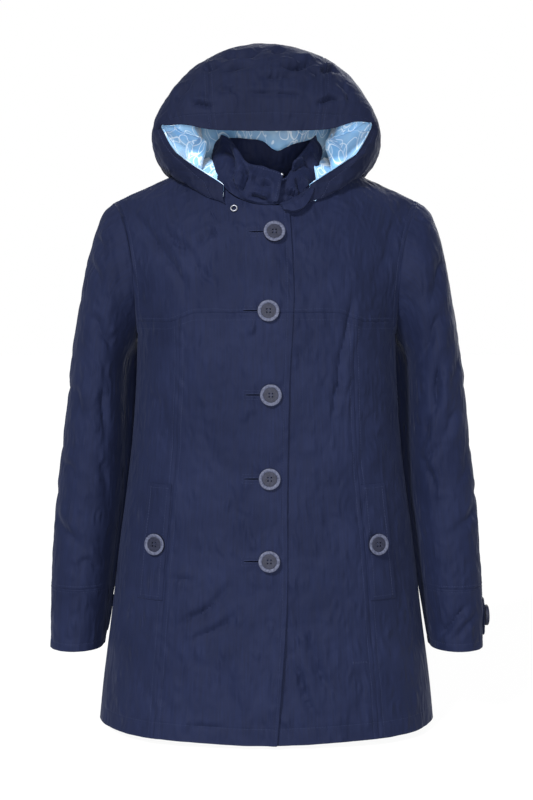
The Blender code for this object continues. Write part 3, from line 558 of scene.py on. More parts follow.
def close_edges(net, column):
    """Turns the cloth in along the shoulder, armhole and side seams."""
    points = net.points[:, column]
    inward = np.stack([np.zeros(len(points)), -points[:, 1], ARMHOLE_MIDDLE - points[:, 2]], -1)
    inward /= np.linalg.norm(inward, axis=-1, keepdims=True)
    sideways = np.stack([-np.sign(points[:, 0]), np.zeros(len(points)), np.zeros(len(points))], -1)
    in_armhole = (points[:, 2] > UNDERARM_Z + 1)[:, None]
    net.out[:, column] = -np.where(in_armhole, inward, sideways)
    over_shoulder = np.abs(net.points[0, :, 0]) > 73
    net.out[0, over_shoulder] = (0, 0, 1)


def side_relief(to_side, height):
    """The seam at the side and the armhole, with the armhole's row of stitches."""
    stitched = STITCH_SINK * bump(to_side - ARMHOLE_STITCH, 1.2) * (height > UNDERARM_Z)
    return -SEAM_GROOVE * bump(to_side, 1.5) - stitched


def hem_relief(to_top, to_hem):
    """The shoulder seam with its topstitching, and the row that holds the hem."""
    return (-SEAM_GROOVE * bump(to_top, 1.6) - 0.3 * bump(to_top - TOPSTITCH, 1.1)
            - STITCH_SINK * bump(to_hem - HEM_STITCH, 1.2))


def front_net(hand):
    """The whole front on one side, from its front edge to the side seam."""
    columns = net_lines(-EDGE, ACROSS, STEP, seams=(-EDGE + EDGE_STITCH, PRINCESS, ACROSS - ARMHOLE_STITCH))
    rows = net_lines(0, FRONT_ROWS, STEP,
                     seams=(YOKE_ROWS, YOKE_ROWS + ARMHOLE_FOOT, FRONT_ROWS - HEM_STITCH))
    share = np.maximum(columns, 0)[None] / ACROSS
    side = side_height(rows)[:, None]
    top, seam = top_edge(share, "front"), yoke_line(share)
    hem = HEM_Z - FRONT_HEM_DROP * (1 - ease(0, PRINCESS_SHARE, share))
    yoke = seam + (top - seam) * (side - YOKE_SEAM_Z) / (SHOULDER_TIP_Z - YOKE_SEAM_Z)
    below = hem + (seam - hem) * (side - HEM_Z) / (YOKE_SEAM_Z - HEM_Z)
    height = np.where((rows <= YOKE_ROWS)[:, None], yoke, below)
    past = read(FRONT_EDGE, "past_middle", height) if hand < 0 else UNDER_EDGE_X
    share = share + np.minimum(columns, 0)[None] / EDGE * past / reach(height)
    net = Net(coat_points(share, height, "front", hand), rows, columns, (hand * 60, 0, -300))
    close_edges(net, -1)
    to_yoke = height - seam
    to_princess = np.where(to_yoke < 2, columns[None] - PRINCESS, 99.0)
    to_side, to_edge = ACROSS - columns[None], columns[None] + EDGE
    to_top, to_hem = rows[:, None], rows[-1] - rows[:, None]
    heights = creases(net, FRONT_CREASES)
    heights += uneven(net.points, *FRONT_LUMPS, seed=3 * hand) + crumpled(net.points, FRONT_FOLDS)
    under_welt = ease(0.6, 0.65, share) * (1 - ease(0.81, 0.86, share))
    under_welt = under_welt * ease(-600, -575, height) * (1 - ease(-427, -402, height))
    heights *= 1 - CALM_UNDER_WELT * under_welt
    heights += seam_relief(to_yoke) + seam_relief(to_princess)
    heights += puckers(net, to_yoke) + puckers(net, to_princess, seed=5)
    heights += puckers(net, to_hem - HEM_STITCH, 0.35, 9)
    heights *= ease(0, 16, to_side) * ease(-2, 16, to_top)
    heights += side_relief(to_side, height) + hem_relief(to_top, to_hem)
    heights -= STITCH_SINK * bump(to_edge - EDGE_STITCH, 1.1)
    if hand < 0:
        heights += OVERLAP_LIFT * (1 - ease(0.12, 0.23, share))
        heights += EDGE_CURL * ease(520, 700, -height) * (1 - ease(-24, 6, columns[None]))
    net.raise_by(heights)
    return net


FRONT_CUTS = {
    "front_yoke": ((0.25, 0.24), 0.047),
    "front_centre": ((0.17, 0.56), 0.086),
    "front_side": ((0.18, 0.56), 0.083),
}
fronts = {}
for side, hand in (("right", -1), ("left", 1)):
    front = front_net(hand)
    fronts[side] = front
    seam = int(np.argmin(abs(front.rows - YOKE_ROWS)))
    princess = int(np.argmin(abs(front.columns - PRINCESS)))
    pieces = {
        "front_yoke": front.cut(slice(0, seam + 1)),
        "front_centre": front.cut(slice(seam, None), slice(0, princess + 1)),
        "front_side": front.cut(slice(seam, None), slice(princess, None)),
    }
    pieces["front_yoke"].points[-1, :, 2] += HALF_GAP
    pieces["front_centre"].points[0, :, 2] -= HALF_GAP
    pieces["front_side"].points[0, :, 2] -= HALF_GAP
    pieces["front_centre"].points[:, -1, 0] -= hand * HALF_GAP
    pieces["front_side"].points[:, 0, 0] += hand * HALF_GAP
    for name, net in pieces.items():
        flat, area = FRONT_CUTS[name]
        wear(make_cloth(f"{name}_{side}_cloth", net), f"{name}_{side}")
    down = front.rows[front.rows > 6]
    below = front.rows[front.rows > YOKE_ROWS + 3]
    width = front.columns[front.columns > -EDGE + EDGE_STITCH]
    sew(front, YOKE_ROWS - TOPSTITCH, width)
    sew(front, YOKE_ROWS + TOPSTITCH, width)
    sew(front, below, PRINCESS - TOPSTITCH)
    sew(front, below, PRINCESS + TOPSTITCH)
    sew(front, down[down < YOKE_ROWS + 10], ACROSS - ARMHOLE_STITCH)
    sew(front, down, -EDGE + EDGE_STITCH)
    sew(front, FRONT_ROWS - HEM_STITCH, width)
    sew(front, TOPSTITCH, front.columns[front.columns > NECK_COLUMNS])

HOLE_LENGTH, HOLE_START = 24.0, 8.0
HOLE_WIDTH = 1.3
HOLE_STITCHES, HOLE_STITCH_STEP, HOLE_STITCH_LENGTH = 34, 0.7, 1.5
SLIT_STEPS = 12
BOX_HALF_HEIGHT, BOX_PAST_HOLE = 5.6, 3.0


def middle_of(node):
    """The middle of a plain solid, in millimetres."""
    low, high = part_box(node)
    return (low + high) / 2 / MM


def sew_across(net, start, stop):
    """Lays a straight row of stitches between two places seen from the front."""
    count = max(1, round(math.hypot(stop[0] - start[0], stop[1] - start[1]) / (STITCH + STITCH_GAP)))
    for k in range(count):
        shares = (k / count, (k + STITCH / (STITCH + STITCH_GAP)) / count)
        ends = [net.seat(start[0] + (stop[0] - start[0]) * share, start[1] + (stop[1] - start[1]) * share)
                for share in shares]
        lift = ends[0][1] * 0.15
        sewn.append((ends[0][0] + lift, ends[1][0] + lift, ends[0][1]))


overlap = fronts["right"]
slits = []
for number in range(1, 6):
    place = middle_of(f"button_front_{number}")
    left, right = place.x - HOLE_START - HOLE_LENGTH, place.x - HOLE_START
    box_left = left - BOX_PAST_HOLE
    for side in (-1, 1):
        edge = place.z + side * HOLE_WIDTH / 2
        for k in range(HOLE_STITCHES):
            x = left + k * HOLE_STITCH_STEP
            foot = overlap.seat(x, edge)[0]
            tip, out = overlap.seat(x + 0.1, edge + side * HOLE_STITCH_LENGTH)
            sewn.append((foot + out * 0.2, tip + out * 0.1, out))
        box_z = place.z + side * BOX_HALF_HEIGHT
        sew_across(overlap, (box_left, box_z), (right, box_z))
    sew_across(overlap, (box_left, place.z - BOX_HALF_HEIGHT), (box_left, place.z + BOX_HALF_HEIGHT))
    slits.append([(left + HOLE_LENGTH * k / SLIT_STEPS, place.z) for k in range(SLIT_STEPS + 1)])
TACK_START, TACK_END, TACK_Z = 110.0, 130.0, -653.0
for drop in (-0.8, 0.0, 0.8):
    sew_across(fronts["left"], (TACK_START, TACK_Z + drop), (TACK_END, TACK_Z + drop))
make_stitches("stitches_front", navy_thread)

# A thin near-black lens over each buttonhole's slit: painted shade standing in for the dark opening.
slit_verts, slit_faces = [], []
for slit in slits:
    first = len(slit_verts)
    last = first + 4 * SLIT_STEPS
    for k, (x, z) in enumerate(slit):
        half = HOLE_WIDTH / 2 * math.sin(math.pi * (0.06 + 0.88 * k / SLIT_STEPS)) ** 0.4
        point, out = overlap.seat(x, z)
        for rise, lift in ((half, 0.12), (0, 0.22), (-half, 0.12), (0, -0.3)):
            slit_verts.append((point + Vector((0, 0, rise)) + out * lift) * MM)
    for ring in range(first, last, 4):
        for side in range(4):
            a, b = ring + side, ring + (side + 1) % 4
            slit_faces.append((a, b, b + 4, a + 4))
    slit_faces.append((first + 3, first + 2, first + 1, first))
    slit_faces.append((last, last + 1, last + 2, last + 3))
slit_mesh = bpy.data.meshes.new("buttonhole_slit_shade")
slit_mesh.from_pydata(slit_verts, [], slit_faces)
slit_painted_shade = thread_and_slit_shade_colour("slit_painted_shade", (0.0002, 0.0002, 0.0006), (0.0008, 0.0010, 0.0024), 0)
carry(add_piece("buttonhole_slit_shade", slit_mesh, slit_painted_shade))

# ---- Back --------------------------------------------------------------------------------------
# One piece of the same cotton from side seam to side seam. It is joined to the front yokes over the
# shoulders, and its hem is turned up and held by one row of stitches.
BACK_ARMHOLE = 265.0
BACK_ROWS = BACK_ARMHOLE + UNDERARM_Z - HEM_Z
BACK_STEP = 3.9
BACK_LUMPS = (80, 3.0, 2.0)
BACK_FOLDS = ((38, 2.6, 1.6, 2.6), (16, 0.7, 1.5, 6.1))
BACK_CREASES = (
    (-60, -90, 58, -96, -9, 9, 1.6),
    (-120, -96, -86, -190, 6, 8, 1.6),
    (124, -90, 92, -182, -6, 8, 1.5),
    (-150, -220, -70, -262, 5, 8, 1.5),
    (152, -226, 84, -272, -5, 8, 1.4),
    (-40, -330, 52, -356, 6, 9, 1.0),
    (-96, -400, -112, -560, 6, 12, 1.6),
    (20, -420, 12, -600, -6, 14, 1.4),
    (98, -420, 118, -590, -6, 12, 1.6),
    (-50, -560, -70, -738, 6, 11, 1.8),
    (60, -580, 84, -740, -5, 11, 1.8),
    (-150, -560, -166, -738, 4, 10, 1.5),
    (152, -600, 164, -740, -4, 10, 1.4),
)


def back_net():
    """The back, as one net."""
    columns = net_lines(-ACROSS, ACROSS, BACK_STEP, seams=(-ACROSS + ARMHOLE_STITCH, ACROSS - ARMHOLE_STITCH))
    rows = net_lines(0, BACK_ROWS, BACK_STEP, seams=(0, BACK_ROWS - HEM_STITCH))
    share = np.abs(columns)[None] / ACROSS
    swing = np.clip(rows / BACK_ARMHOLE, 0, 1)
    side = ARMHOLE_MIDDLE + ARMHOLE_HALF * np.cos(math.pi * swing)
    fall = ((side - UNDERARM_Z) / (SHOULDER_TIP_Z - UNDERARM_Z))[:, None]
    top = top_edge(share, "back")
    height = np.where((rows < BACK_ARMHOLE)[:, None], UNDERARM_Z + (top - UNDERARM_Z) * fall,
                      UNDERARM_Z - (rows - BACK_ARMHOLE)[:, None] + 0 * share)
    points = coat_points(share + 0 * height, height, "back", 1)
    points[..., 0] *= np.sign(columns)[None]
    net = Net(points, rows, columns, (0, 0, -300))
    for column in (0, -1):
        close_edges(net, column)
    to_side, to_top, to_hem = ACROSS - np.abs(columns)[None], rows[:, None], rows[-1] - rows[:, None]
    heights = creases(net, BACK_CREASES, face=(0, 1, 0))
    heights += uneven(net.points, *BACK_LUMPS, seed=11) + crumpled(net.points, BACK_FOLDS)
    heights += puckers(net, to_hem - HEM_STITCH, 0.35, 4)
    heights *= ease(0, 16, to_side) * ease(-2, 16, to_top)
    heights += side_relief(to_side, height) + hem_relief(to_top, to_hem)
    net.raise_by(heights)
    return net


back = back_net()
wear(make_cloth("back_cloth", back), "back")
sew(back, BACK_ROWS - HEM_STITCH, back.columns)
for column in (-ACROSS + ARMHOLE_STITCH, ACROSS - ARMHOLE_STITCH):
    sew(back, back.rows[(back.rows > 6) & (back.rows < BACK_ARMHOLE - 6)], column)
sew(back, TOPSTITCH, back.columns[back.columns > NECK_COLUMNS])
sew(back, TOPSTITCH, back.columns[back.columns < -NECK_COLUMNS])
make_stitches("stitches_back", navy_thread)

# ---- Sleeves and cuffs -------------------------------------------------------------------------
# Each sleeve is one tube of the cotton from the armhole, with a deep cuff sewn on by two rows, and a
# doubled tab that buttons round the cuff from behind.
SLEEVE = (("row", "outer_x", "outer_z", "inner_x", "inner_z", "middle_y", "half_depth", "nestle"), (
    (0, 205, -60, 174, -235, -1, 71, 0),
    (1, 222, -80, 176, -244, -1, 73, 4),
    (2, 238, -134, 181, -254, -2, 73, 15),
    (3, 249, -192, 187, -270, -3, 70, 22),
    (4, 261, -264, 190, -305, -5, 65, 24),
    (5, 271, -350, 191, -365, -8, 60, 22),
    (6, 281, -442, 195, -446, -12, 55, 19),
    (7, 287, -515, 204, -515, -16, 51, 19),
    (8, 290, -572, 211, -572, -19, 48, 14),
    (9, 292, -655, 221, -655, -22, 45, 8),
))
SLEEVE_JOIN_ROWS = 1.6
ROW_LENGTH = 70.0
CUFF_ROWS = 8 * ROW_LENGTH
SLEEVE_END = 9 * ROW_LENGTH
SLEEVE_ROUND = 330.0
CUFF_STITCH, CUFF_HEM_STITCH = 4.0, 8.0
SLEEVE_LUMPS = (55, 1.7, 1.8)
SLEEVE_FOLDS = ((32, 1.6, 1.3, 8.1), (15, 1.1, 1.3, 4.7))


def sleeve_points(turn, row, hand):
    """Points on a sleeve. Turn 0 is outermost, 90 is in front, 180 is against the body."""
    angle = np.radians(turn)
    size = {name: read(SLEEVE, name, row) for name in SLEEVE[0][1:]}
    middle_x, middle_z = (size["outer_x"] + size["inner_x"]) / 2, (size["outer_z"] + size["inner_z"]) / 2
    x = middle_x + (size["outer_x"] - middle_x) * np.cos(angle)
    z = middle_z + (size["outer_z"] - middle_z) * np.cos(angle)
    y = size["middle_y"] - size["half_depth"] * np.sin(angle)
    behind = (np.cos(angle) < 0) & (np.sin(angle) < 0)
    x = x - np.where(behind, size["nestle"] * np.sin(2 * angle) ** 2, 0)
    joining = np.maximum(0, 1 - row / SLEEVE_JOIN_ROWS) ** 2
    seam_z = ARMHOLE_MIDDLE + ARMHOLE_HALF * np.cos(angle)
    seam_x = reach(seam_z) - armhole_dip(seam_z) + 2 * HALF_GAP
    seam_y = np.where(np.sin(angle) > 0, -side_depth(seam_z, "front"), side_depth(seam_z, "back"))
    oval_x = (SHOULDER_TIP_X + UNDERARM_X) / 2 + (SHOULDER_TIP_X - UNDERARM_X) / 2 * np.cos(angle)
    oval_y = -1 - 71 * np.sin(angle)
    x = x + (seam_x - oval_x) * joining
    y = y + (seam_y - oval_y) * joining
    return np.stack([hand * x, y, z + 0 * x], axis=-1)


SLEEVE_CREASES = {
    "right": (
        (-216, -290, -214, -388, 3, 6, 2.2),
        (-224, -392, -202, -498, 5, 6, 2.4),
        (-262, -300, -240, -352, 3, 6, 1.5),
        (-246, -120, -214, -190, 5, 8, 2.0),
        (-232, -96, -208, -150, 4, 6, 1.6),
        (-276, -400, -246, -430, 3, 6, 1.5),
        (-284, -470, -236, -520, -4, 7, 1.8),
        (-250, -530, -214, -552, 3, 5, 1.2),
        (-236, -206, -200, -262, 4, 8, 2.0),
    ),
    "left": (
        (224, -268, 216, -346, 3, 6, 3.4),
        (214, -338, 188, -404, 4, 6, 3.4),
        (182, -380, 228, -444, 4, 5, 2.2),
        (228, -380, 186, -440, -4, 5, 2.0),
        (250, -330, 226, -376, 3, 6, 1.6),
        (244, -124, 214, -204, -5, 8, 2.0),
        (262, -250, 240, -300, 3, 6, 1.3),
        (284, -455, 240, -500, 4, 7, 1.6),
        (232, -206, 204, -272, -4, 8, 2.2),
        (270, -382, 252, -440, 3, 6, 1.3),
    ),
}
SLEEVE_BACK_CREASES = (
    (215, -300, 262, -330, 4, 7, 2.4),
    (205, -350, 256, -362, -4, 6, 2.2),
    (212, -390, 262, -420, 4, 7, 2.0),
    (222, -180, 246, -250, 4, 9, 1.6),
    (228, -480, 276, -500, 3, 7, 1.6),
)
SLEEVE_SIDE_CREASES = (
    (-40, -300, 34, -330, 5, 8, 0.8),
    (30, -362, -42, -388, 5, 8, 0.7),
    (-20, -160, 24, -214, 4, 9, 0.6),
    (-44, -440, 20, -470, 4, 8, 0.6),
)
CUFF_CREASES = {
    "right": ((-212, -586, -224, -646, 2, 4, 1.6), (-206, -590, -217, -650, 2, 3.5, 1.2)),
    "left": ((268, -588, 219, -642, 3, 4.5, 2.4), (280, -600, 246, -640, 2, 4, 1.0)),
}


def sleeve_net(side, hand):
    """The sleeve and its cuff as one tube, from the armhole down."""
    columns = np.linspace(0, 360, round(SLEEVE_ROUND / STEP), endpoint=False)
    rows = net_lines(0, SLEEVE_END, STEP, seams=(0, CUFF_ROWS, SLEEVE_END - CUFF_HEM_STITCH))
    points = sleeve_points(columns[None], rows[:, None] / ROW_LENGTH, hand)
    net = Net(points, rows, columns, (hand * 235, 0, -300), around=True)
    first = net.points[0]
    inward = np.stack([np.zeros(len(first)), -first[:, 1], ARMHOLE_MIDDLE - first[:, 2]], -1)
    net.out[0] = -inward / np.linalg.norm(inward, axis=-1, keepdims=True)
    down = rows[:, None]
    to_cuff, to_hem = down - CUFF_ROWS, SLEEVE_END - down
    heights = creases(net, SLEEVE_CREASES[side]) + creases(net, CUFF_CREASES[side])
    behind = [(hand * a, b, hand * c, d, hand * e, f, g) for a, b, c, d, e, f, g in SLEEVE_BACK_CREASES]
    heights += creases(net, behind, face=(0, 1, 0))
    heights += creases(net, SLEEVE_SIDE_CREASES, across=1, face=(hand, 0, 0))
    heights += uneven(net.points, *SLEEVE_LUMPS, seed=hand * 4.4) + crumpled(net.points, SLEEVE_FOLDS)
    heights += seam_relief(to_cuff, CUFF_STITCH) + puckers(net, to_cuff, 0.35, 2)
    heights += puckers(net, to_hem - CUFF_HEM_STITCH, 0.35, 6)
    facing_body = ease(0.55, 0.85, net.out @ np.array([-hand, 0, 0.0]))
    heights *= (1 - facing_body) * ease(0, 22, down)
    heights -= SEAM_GROOVE * bump(down, 1.6) + 0.4 * bump(to_hem - CUFF_HEM_STITCH, 1.2)
    net.raise_by(heights)
    return net


turns = np.linspace(0, 356, 90)
for side, hand in (("right", -1), ("left", 1)):
    tube = sleeve_net(side, hand)
    seam = int(np.argmin(abs(tube.rows - CUFF_ROWS)))
    sleeve, cuff = tube.cut(slice(0, seam + 1)), tube.cut(slice(seam, None))
    sleeve.points[-1, :, 2] += HALF_GAP
    cuff.points[0, :, 2] -= HALF_GAP
    wear(make_cloth(f"sleeve_{side}_cloth", sleeve), f"sleeve_{side}")
    wear(make_cloth(f"cuff_{side}_cloth", cuff), f"cuff_{side}")
    sew(tube, CUFF_ROWS - CUFF_STITCH, turns)
    sew(tube, CUFF_ROWS + CUFF_STITCH, turns)
    sew(tube, SLEEVE_END - CUFF_HEM_STITCH, turns)
make_stitches("stitches_sleeves", navy_thread)

TAB_TURNS = {"left": (-96.0, 6.0), "right": (-146.0, -54.0)}
TAB_ROWS = (8.26 * ROW_LENGTH, 8.82 * ROW_LENGTH)
TAB_LENGTH, TAB_STITCH = 75.0, 4.0
TAB_LIFT, TAB_WALL = 3.4, 2.0
for side, hand in (("right", -1), ("left", 1)):
    first, last = TAB_TURNS[side]
    columns = net_lines(0, TAB_LENGTH, 2.5, seams=(5, TAB_LENGTH - 5))
    rows = net_lines(*TAB_ROWS, 2.5)
    turn = first + (last - first) * columns / TAB_LENGTH
    points = sleeve_points(turn[None], rows[:, None] / ROW_LENGTH, hand)
    tab = Net(points, rows, columns, (hand * 256, -20, -620))
    to_end = TAB_LENGTH - columns[None]
    to_long = np.minimum(rows - rows[0], rows[-1] - rows)[:, None]
    heights = TAB_LIFT - 0.8 * bump(to_long, 2.0) - 0.8 * bump(to_end, 2.0)
    heights -= STITCH_SINK * bump(to_long - TAB_STITCH, 1.2)
    heights += uneven(tab.points, 12, 0.3) - 1.6 * bump(columns, 8)[None]
    tab.raise_by(heights)
    cloth = make_cloth(f"cuff_tab_{side}_cloth", tab, wall=TAB_WALL)
    wear(cloth, f"cuff_tab_{side}")
    sew(tab, rows[0] + TAB_STITCH, columns[2:-3])
    sew(tab, rows[-1] - TAB_STITCH, columns[2:-3])
    sew(tab, rows[2:-2], TAB_LENGTH - TAB_STITCH)
make_stitches("stitches_tabs", navy_thread)

# ---- Collar ------------------------------------------------------------------------------------
# A tall stand collar of doubled cotton, sewn round the neck by its foot. It is soft enough to slump,
# and it laps in front, right over left.
COLLAR_TURNS = (-13.0, 375.0)
COLLAR_GAPS = (1.4, 2.4)
COLLAR_HEIGHT, COLLAR_STEP, COLLAR_WALL = 90.0, 2.6, 1.8
COLLAR_FOLDS = ((20, 3.6, 1.0, 5.5),)
COLLAR_DEPTH = 1.3
COLLAR = (("turn", "top_x", "top_y", "top_z", "bow", "pouch"), (
    (-13, -14, -78, -36, 2, 0),
    (6, 12, -80, -34, 2, 1),
    (17, 25, -81, -31, 2, 15),
    (35, 35, -73, -13, 2, 21),
    (52, 50, -54, 7, 0, 15),
    (68, 63, -28, 25, 0, 4),
    (90, 66, 0, 29, 3, 0),
    (120, 58, 34, 26, 3, 0),
    (150, 36, 60, 23, 2, 0),
    (168, 14, 69, 15, 2, 0),
    (186, -6, 70, 28, 3, 0),
    (210, -33, 62, 31, 3, 0),
    (240, -54, 36, 30, 3, 0),
    (270, -62, -2, 28, 3, 0),
    (292, -57, -34, 26, 2, 0),
    (306, -47, -52, 19, 1, 2),
    (318, -36, -70, 1, 4, 3),
    (331, -24, -83, -13, 8, 4),
    (346, -4, -90, -19, 9, 4),
    (362, 13, -92, -25, 8, 5),
    (375, 21, -91, -28, 6, 6),
))
# Columns: where the crease starts (x, z) and ends (x, z), bow, width, depth
COLLAR_CREASES = (
    (-24, -14, -37, -58, 3, 3, 4.4),
    (-50, 14, -44, -34, 2, 4, 3.6),
    (-46, -30, -40, -62, 2, 3, 3.0),
    (22, -62, 54, -60, -5, 3, 4.6),
    (20, -50, 46, -70, 4, 3, 3.4),
    (30, -22, 56, -16, 3, 3, 3.6),
    (34, -34, 46, -52, 3, 3, 3.2),
    (44, -30, 40, -66, 3, 3, 3.0),
    (-14, -40, 10, -48, 2, 3, 2.0),
    (-22, -58, 2, -66, 2, 3, 3.0),
    (-34, -66, -4, -78, 3, 3, 3.4),
    (48, 0, 58, -22, 3, 4, 3.0),
)


def collar_points(turn, rise):
    """Points on the collar. Turn 0 is the middle of the front, and 90 the wearer's left."""
    size = {name: read(COLLAR, name, turn) for name in COLLAR[0][1:]}
    foot = turn - 8 * ease(345, 375, turn)
    across, ahead = np.sin(np.radians(foot)), np.cos(np.radians(foot))
    share = NECK_SHARE * np.abs(across)
    foot_z = np.where(ahead > 0, top_edge(share * 0.9999, "front"), top_edge(share * 0.9999, "back"))
    foot_x = np.sign(across) * share * reach(foot_z)
    foot_y = np.where(ahead > 0, -coat_depth(share, foot_z, "front"), coat_depth(share, foot_z, "back"))
    foot_z = foot_z + COLLAR_GAPS[0] + (COLLAR_GAPS[1] - COLLAR_GAPS[0]) * np.maximum(ahead, 0) ** 2
    slump = size["pouch"] * np.sin(math.pi * np.clip(rise / 0.75, 0, 1)) ** 1.5
    out = size["bow"] * np.sin(math.pi * rise) + OVERLAP_LIFT * ease(325, 343, turn) + 0.45 * slump
    x = foot_x + (size["top_x"] - foot_x) * rise + across * (out + 0.15 * slump)
    y = foot_y + (size["top_y"] - foot_y) * rise - ahead * out
    z = foot_z + (size["top_z"] - foot_z) * rise - 1.5 * slump
    over = np.minimum(z, shoulder_line(np.minimum(np.abs(x) / SHOULDER_TIP_X, 1)) - 1)
    coat = -coat_depth(np.abs(x) / reach(over), over, "front") - 5.0 - OVERLAP_LIFT
    fallen = ease(0, 6, foot_z - z) * (ahead > 0)
    return np.stack([x, y + np.minimum(0, coat - y) * fallen, z], axis=-1)


turn_lines = net_lines(*COLLAR_TURNS, COLLAR_STEP, seams=(COLLAR_TURNS[0] + 3, COLLAR_TURNS[1] - 3))
rise_lines = net_lines(0, COLLAR_HEIGHT, COLLAR_STEP, seams=(0, COLLAR_HEIGHT - 4))
rise = 1 - rise_lines[:, None] / COLLAR_HEIGHT
collar = Net(collar_points(turn_lines[None], rise), rise_lines, turn_lines, (0, 0, 0))
heights = uneven(collar.points, 26, 2.2, seed=1.2) + crumpled(collar.points, COLLAR_FOLDS)
heights += creases(collar, COLLAR_CREASES) * COLLAR_DEPTH
under_lap = (1 - ease(10, 22, turn_lines))[None]
collar.raise_by(heights * (1 - 0.8 * under_lap) * ease(-4, 20, COLLAR_HEIGHT - rise_lines)[:, None])
wear(make_cloth("collar_cloth", collar, wall=COLLAR_WALL), "collar")
sew(collar, 5.0, turn_lines[2:-2])
sew(collar, rise_lines[3:-3], COLLAR_TURNS[1] - 3)
make_stitches("stitches_collar", navy_thread)

# ---- Hood --------------------------------------------------------------------------------------
# Three panels of the cotton, joined over the crown by two double-stitched seams. The hood lies on the
# coat all round its hem, and its front edge makes a stiff stitched brim.
HOOD = (("hoop", "hem_x", "hem_y", "side_x", "side_y", "side_z", "top_y", "top_z", "tuck", "crown"), (
    (0, 54, -102, 138, -70, 38, -100, 27, 1.15, 2.0),
    (1, 86, -84, 147, -55, 30, -97, 78, 1.25, 2.05),
    (2, 113, -52, 151, -30, 18, -70, 124, 1.4, 2.05),
    (3, 129, -2, 150, 6, 8, -12, 150, 1.7, 2.05),
    (4, 122, 34, 140, 48, 2, 58, 146, 1.8, 2.1),
    (5, 100, 54, 116, 88, -6, 106, 104, 1.8, 2.1),
    (6, 72, 66, 84, 104, -24, 120, 34, 1.8, 2.1),
    (7, 42, 73, 28, 75, -90, 76, -90, 1.5, 2.0),
))
HOOD_MIDDLE = (0, 20, 20)
HOOD_REST = 4.6
CHIN_PULL, CHIN_START, CHIN_CORNER, CHIN_HOOPS = 25.0, 0.35, 0.76, 1.5
TURN_LENGTH, HOOP_LENGTH = 150.0, 60.0
CROWN_SEAM = 0.33 * TURN_LENGTH
BRIM_STITCH = 26.0
# How much darker the hood's copy of the cotton is made, as painted shade.
HOOD_PAINTED_SHADE = 0.78
CROWN_STITCH, HOOD_HEM_STITCHES = 3.4, (3.0, 8.0)
HOOD_LUMPS = (45, 2.4)
HOOD_FOLDS = ((30, 1.6, 0.7, 9.2), (14, 1.0, 0.8, 2.2))
HOOD_DEPTH = 1.6


def coat_height(x, y):
    """Height of the coat's shoulders under a place, found by halving."""
    share = np.minimum(np.abs(x) / SHOULDER_TIP_X, 1)
    low, high = np.full(x.shape, BUST_Z), shoulder_line(share)
    for _ in range(18):
        middle = (low + high) / 2
        place = np.abs(x) / reach(middle)
        depth = np.where(y < 0, coat_depth(place, middle, "front"), coat_depth(place, middle, "back"))
        under = depth > np.abs(y)
        low, high = np.where(under, middle, low), np.where(under, high, middle)
    return low


def hood_points(turn, hoop):
    """Points on the hood. Turn runs from -2 at the right hem, over the crown, to 2 at the left hem."""
    turn, hoop = np.broadcast_arrays(turn, hoop)
    size = {name: read(HOOD, name, hoop) for name in HOOD[0][1:]}
    along = np.abs(turn)
    angle = math.pi / 2 * np.clip(along - 1, 0, 1)
    inward, down = np.cos(angle) ** (2 / size["tuck"]), np.sin(angle) ** (2 / size["tuck"])
    fade = np.maximum(0, 1 - hoop / CHIN_HOOPS) ** 2
    lean = np.where(down < CHIN_CORNER, np.maximum(0, (down - CHIN_START) / (CHIN_CORNER - CHIN_START)),
                    (1 - down) / (1 - CHIN_CORNER))
    hem_z = coat_height(size["hem_x"], size["hem_y"]) + HOOD_REST
    low = [size["hem_x"] + (size["side_x"] - size["hem_x"]) * inward - CHIN_PULL * fade * lean,
           size["side_y"] + (size["hem_y"] - size["side_y"]) * down,
           size["side_z"] + (hem_z - size["side_z"]) * down]
    angle = math.pi / 2 * np.clip(along, 0, 1)
    out, up = np.sin(angle) ** (2 / size["crown"]), np.abs(np.cos(angle)) ** (2 / size["crown"])
    high = [size["side_x"] * out,
            size["side_y"] + (size["top_y"] - size["side_y"]) * up,
            size["side_z"] + (size["top_z"] - size["side_z"]) * up]
    x, y, z = (np.where(along > 1, a, b) for a, b in zip(low, high))
    z = np.maximum(z, coat_height(x, y) + HOOD_REST)
    x = np.sign(turn) * x
    brim = 1 - ease(0, 0.9, hoop)
    z = z + brim * (along <= 1) * (5 * bump(x + 106, 24) + 8 * bump(x - 116, 24))
    z = z + brim * (-5 * bump(along - 1, 0.07) - 5 * bump(along - 1.3, 0.22))
    y = y + brim * 3 * bump(along - 1, 0.12)
    return np.stack([x, y, z], axis=-1)


# Columns: where the crease starts (x, z) and ends (x, z), bow, width, depth
HOOD_CREASES = (
    (-84, 108, -58, 109, 3, 3.4, 1.8),
    (-58, 105, -12, 112, 4, 4, 2.4),
    (-60, 128, -4, 138, -6, 4, 2.2),
    (4, 138, 26, 134, -2, 3.4, 1.8),
    (16, 114, 62, 118, -5, 3.4, 3.4),
    (30, 122, 66, 120, -3, 3.4, 1.8),
    (68, 106, 98, 108, 3, 3.4, 1.8),
    (56, 108, 66, 98, 2, 3, 1.8),
    (-62, 78, -34, 74, 2, 3.4, 1.4),
    (-34, 72, 60, 70, 3, 3.4, 1.0),
    (-118, 60, -96, 92, 4, 5, 1.6),
    (110, 62, 92, 96, -4, 5, 1.6),
    (-10, 92, 40, 98, 3, 3.4, 1.6),
    (-100, 66, -66, 60, -3, 3.4, 1.4),
    (62, 60, 100, 68, 3, 3.4, 1.4),
    (-128, 8, -104, -14, 3, 4, 2.0),
    (-104, 8, -84, -16, 3, 4, 1.8),
    (124, 10, 100, -14, -3, 4, 2.0),
    (100, 6, 78, -18, -3, 4, 1.8),
)
HOOD_BACK_CREASES = (
    (-60, 120, 40, 112, -8, 7, 1.8),
    (-40, 70, 66, 60, -6, 7, 1.8),
    (-80, 20, -20, 40, 6, 7, 1.6),
    (30, 14, 84, 36, -5, 7, 1.5),
    (-50, -30, 0, -8, 4, 7, 1.4),
)

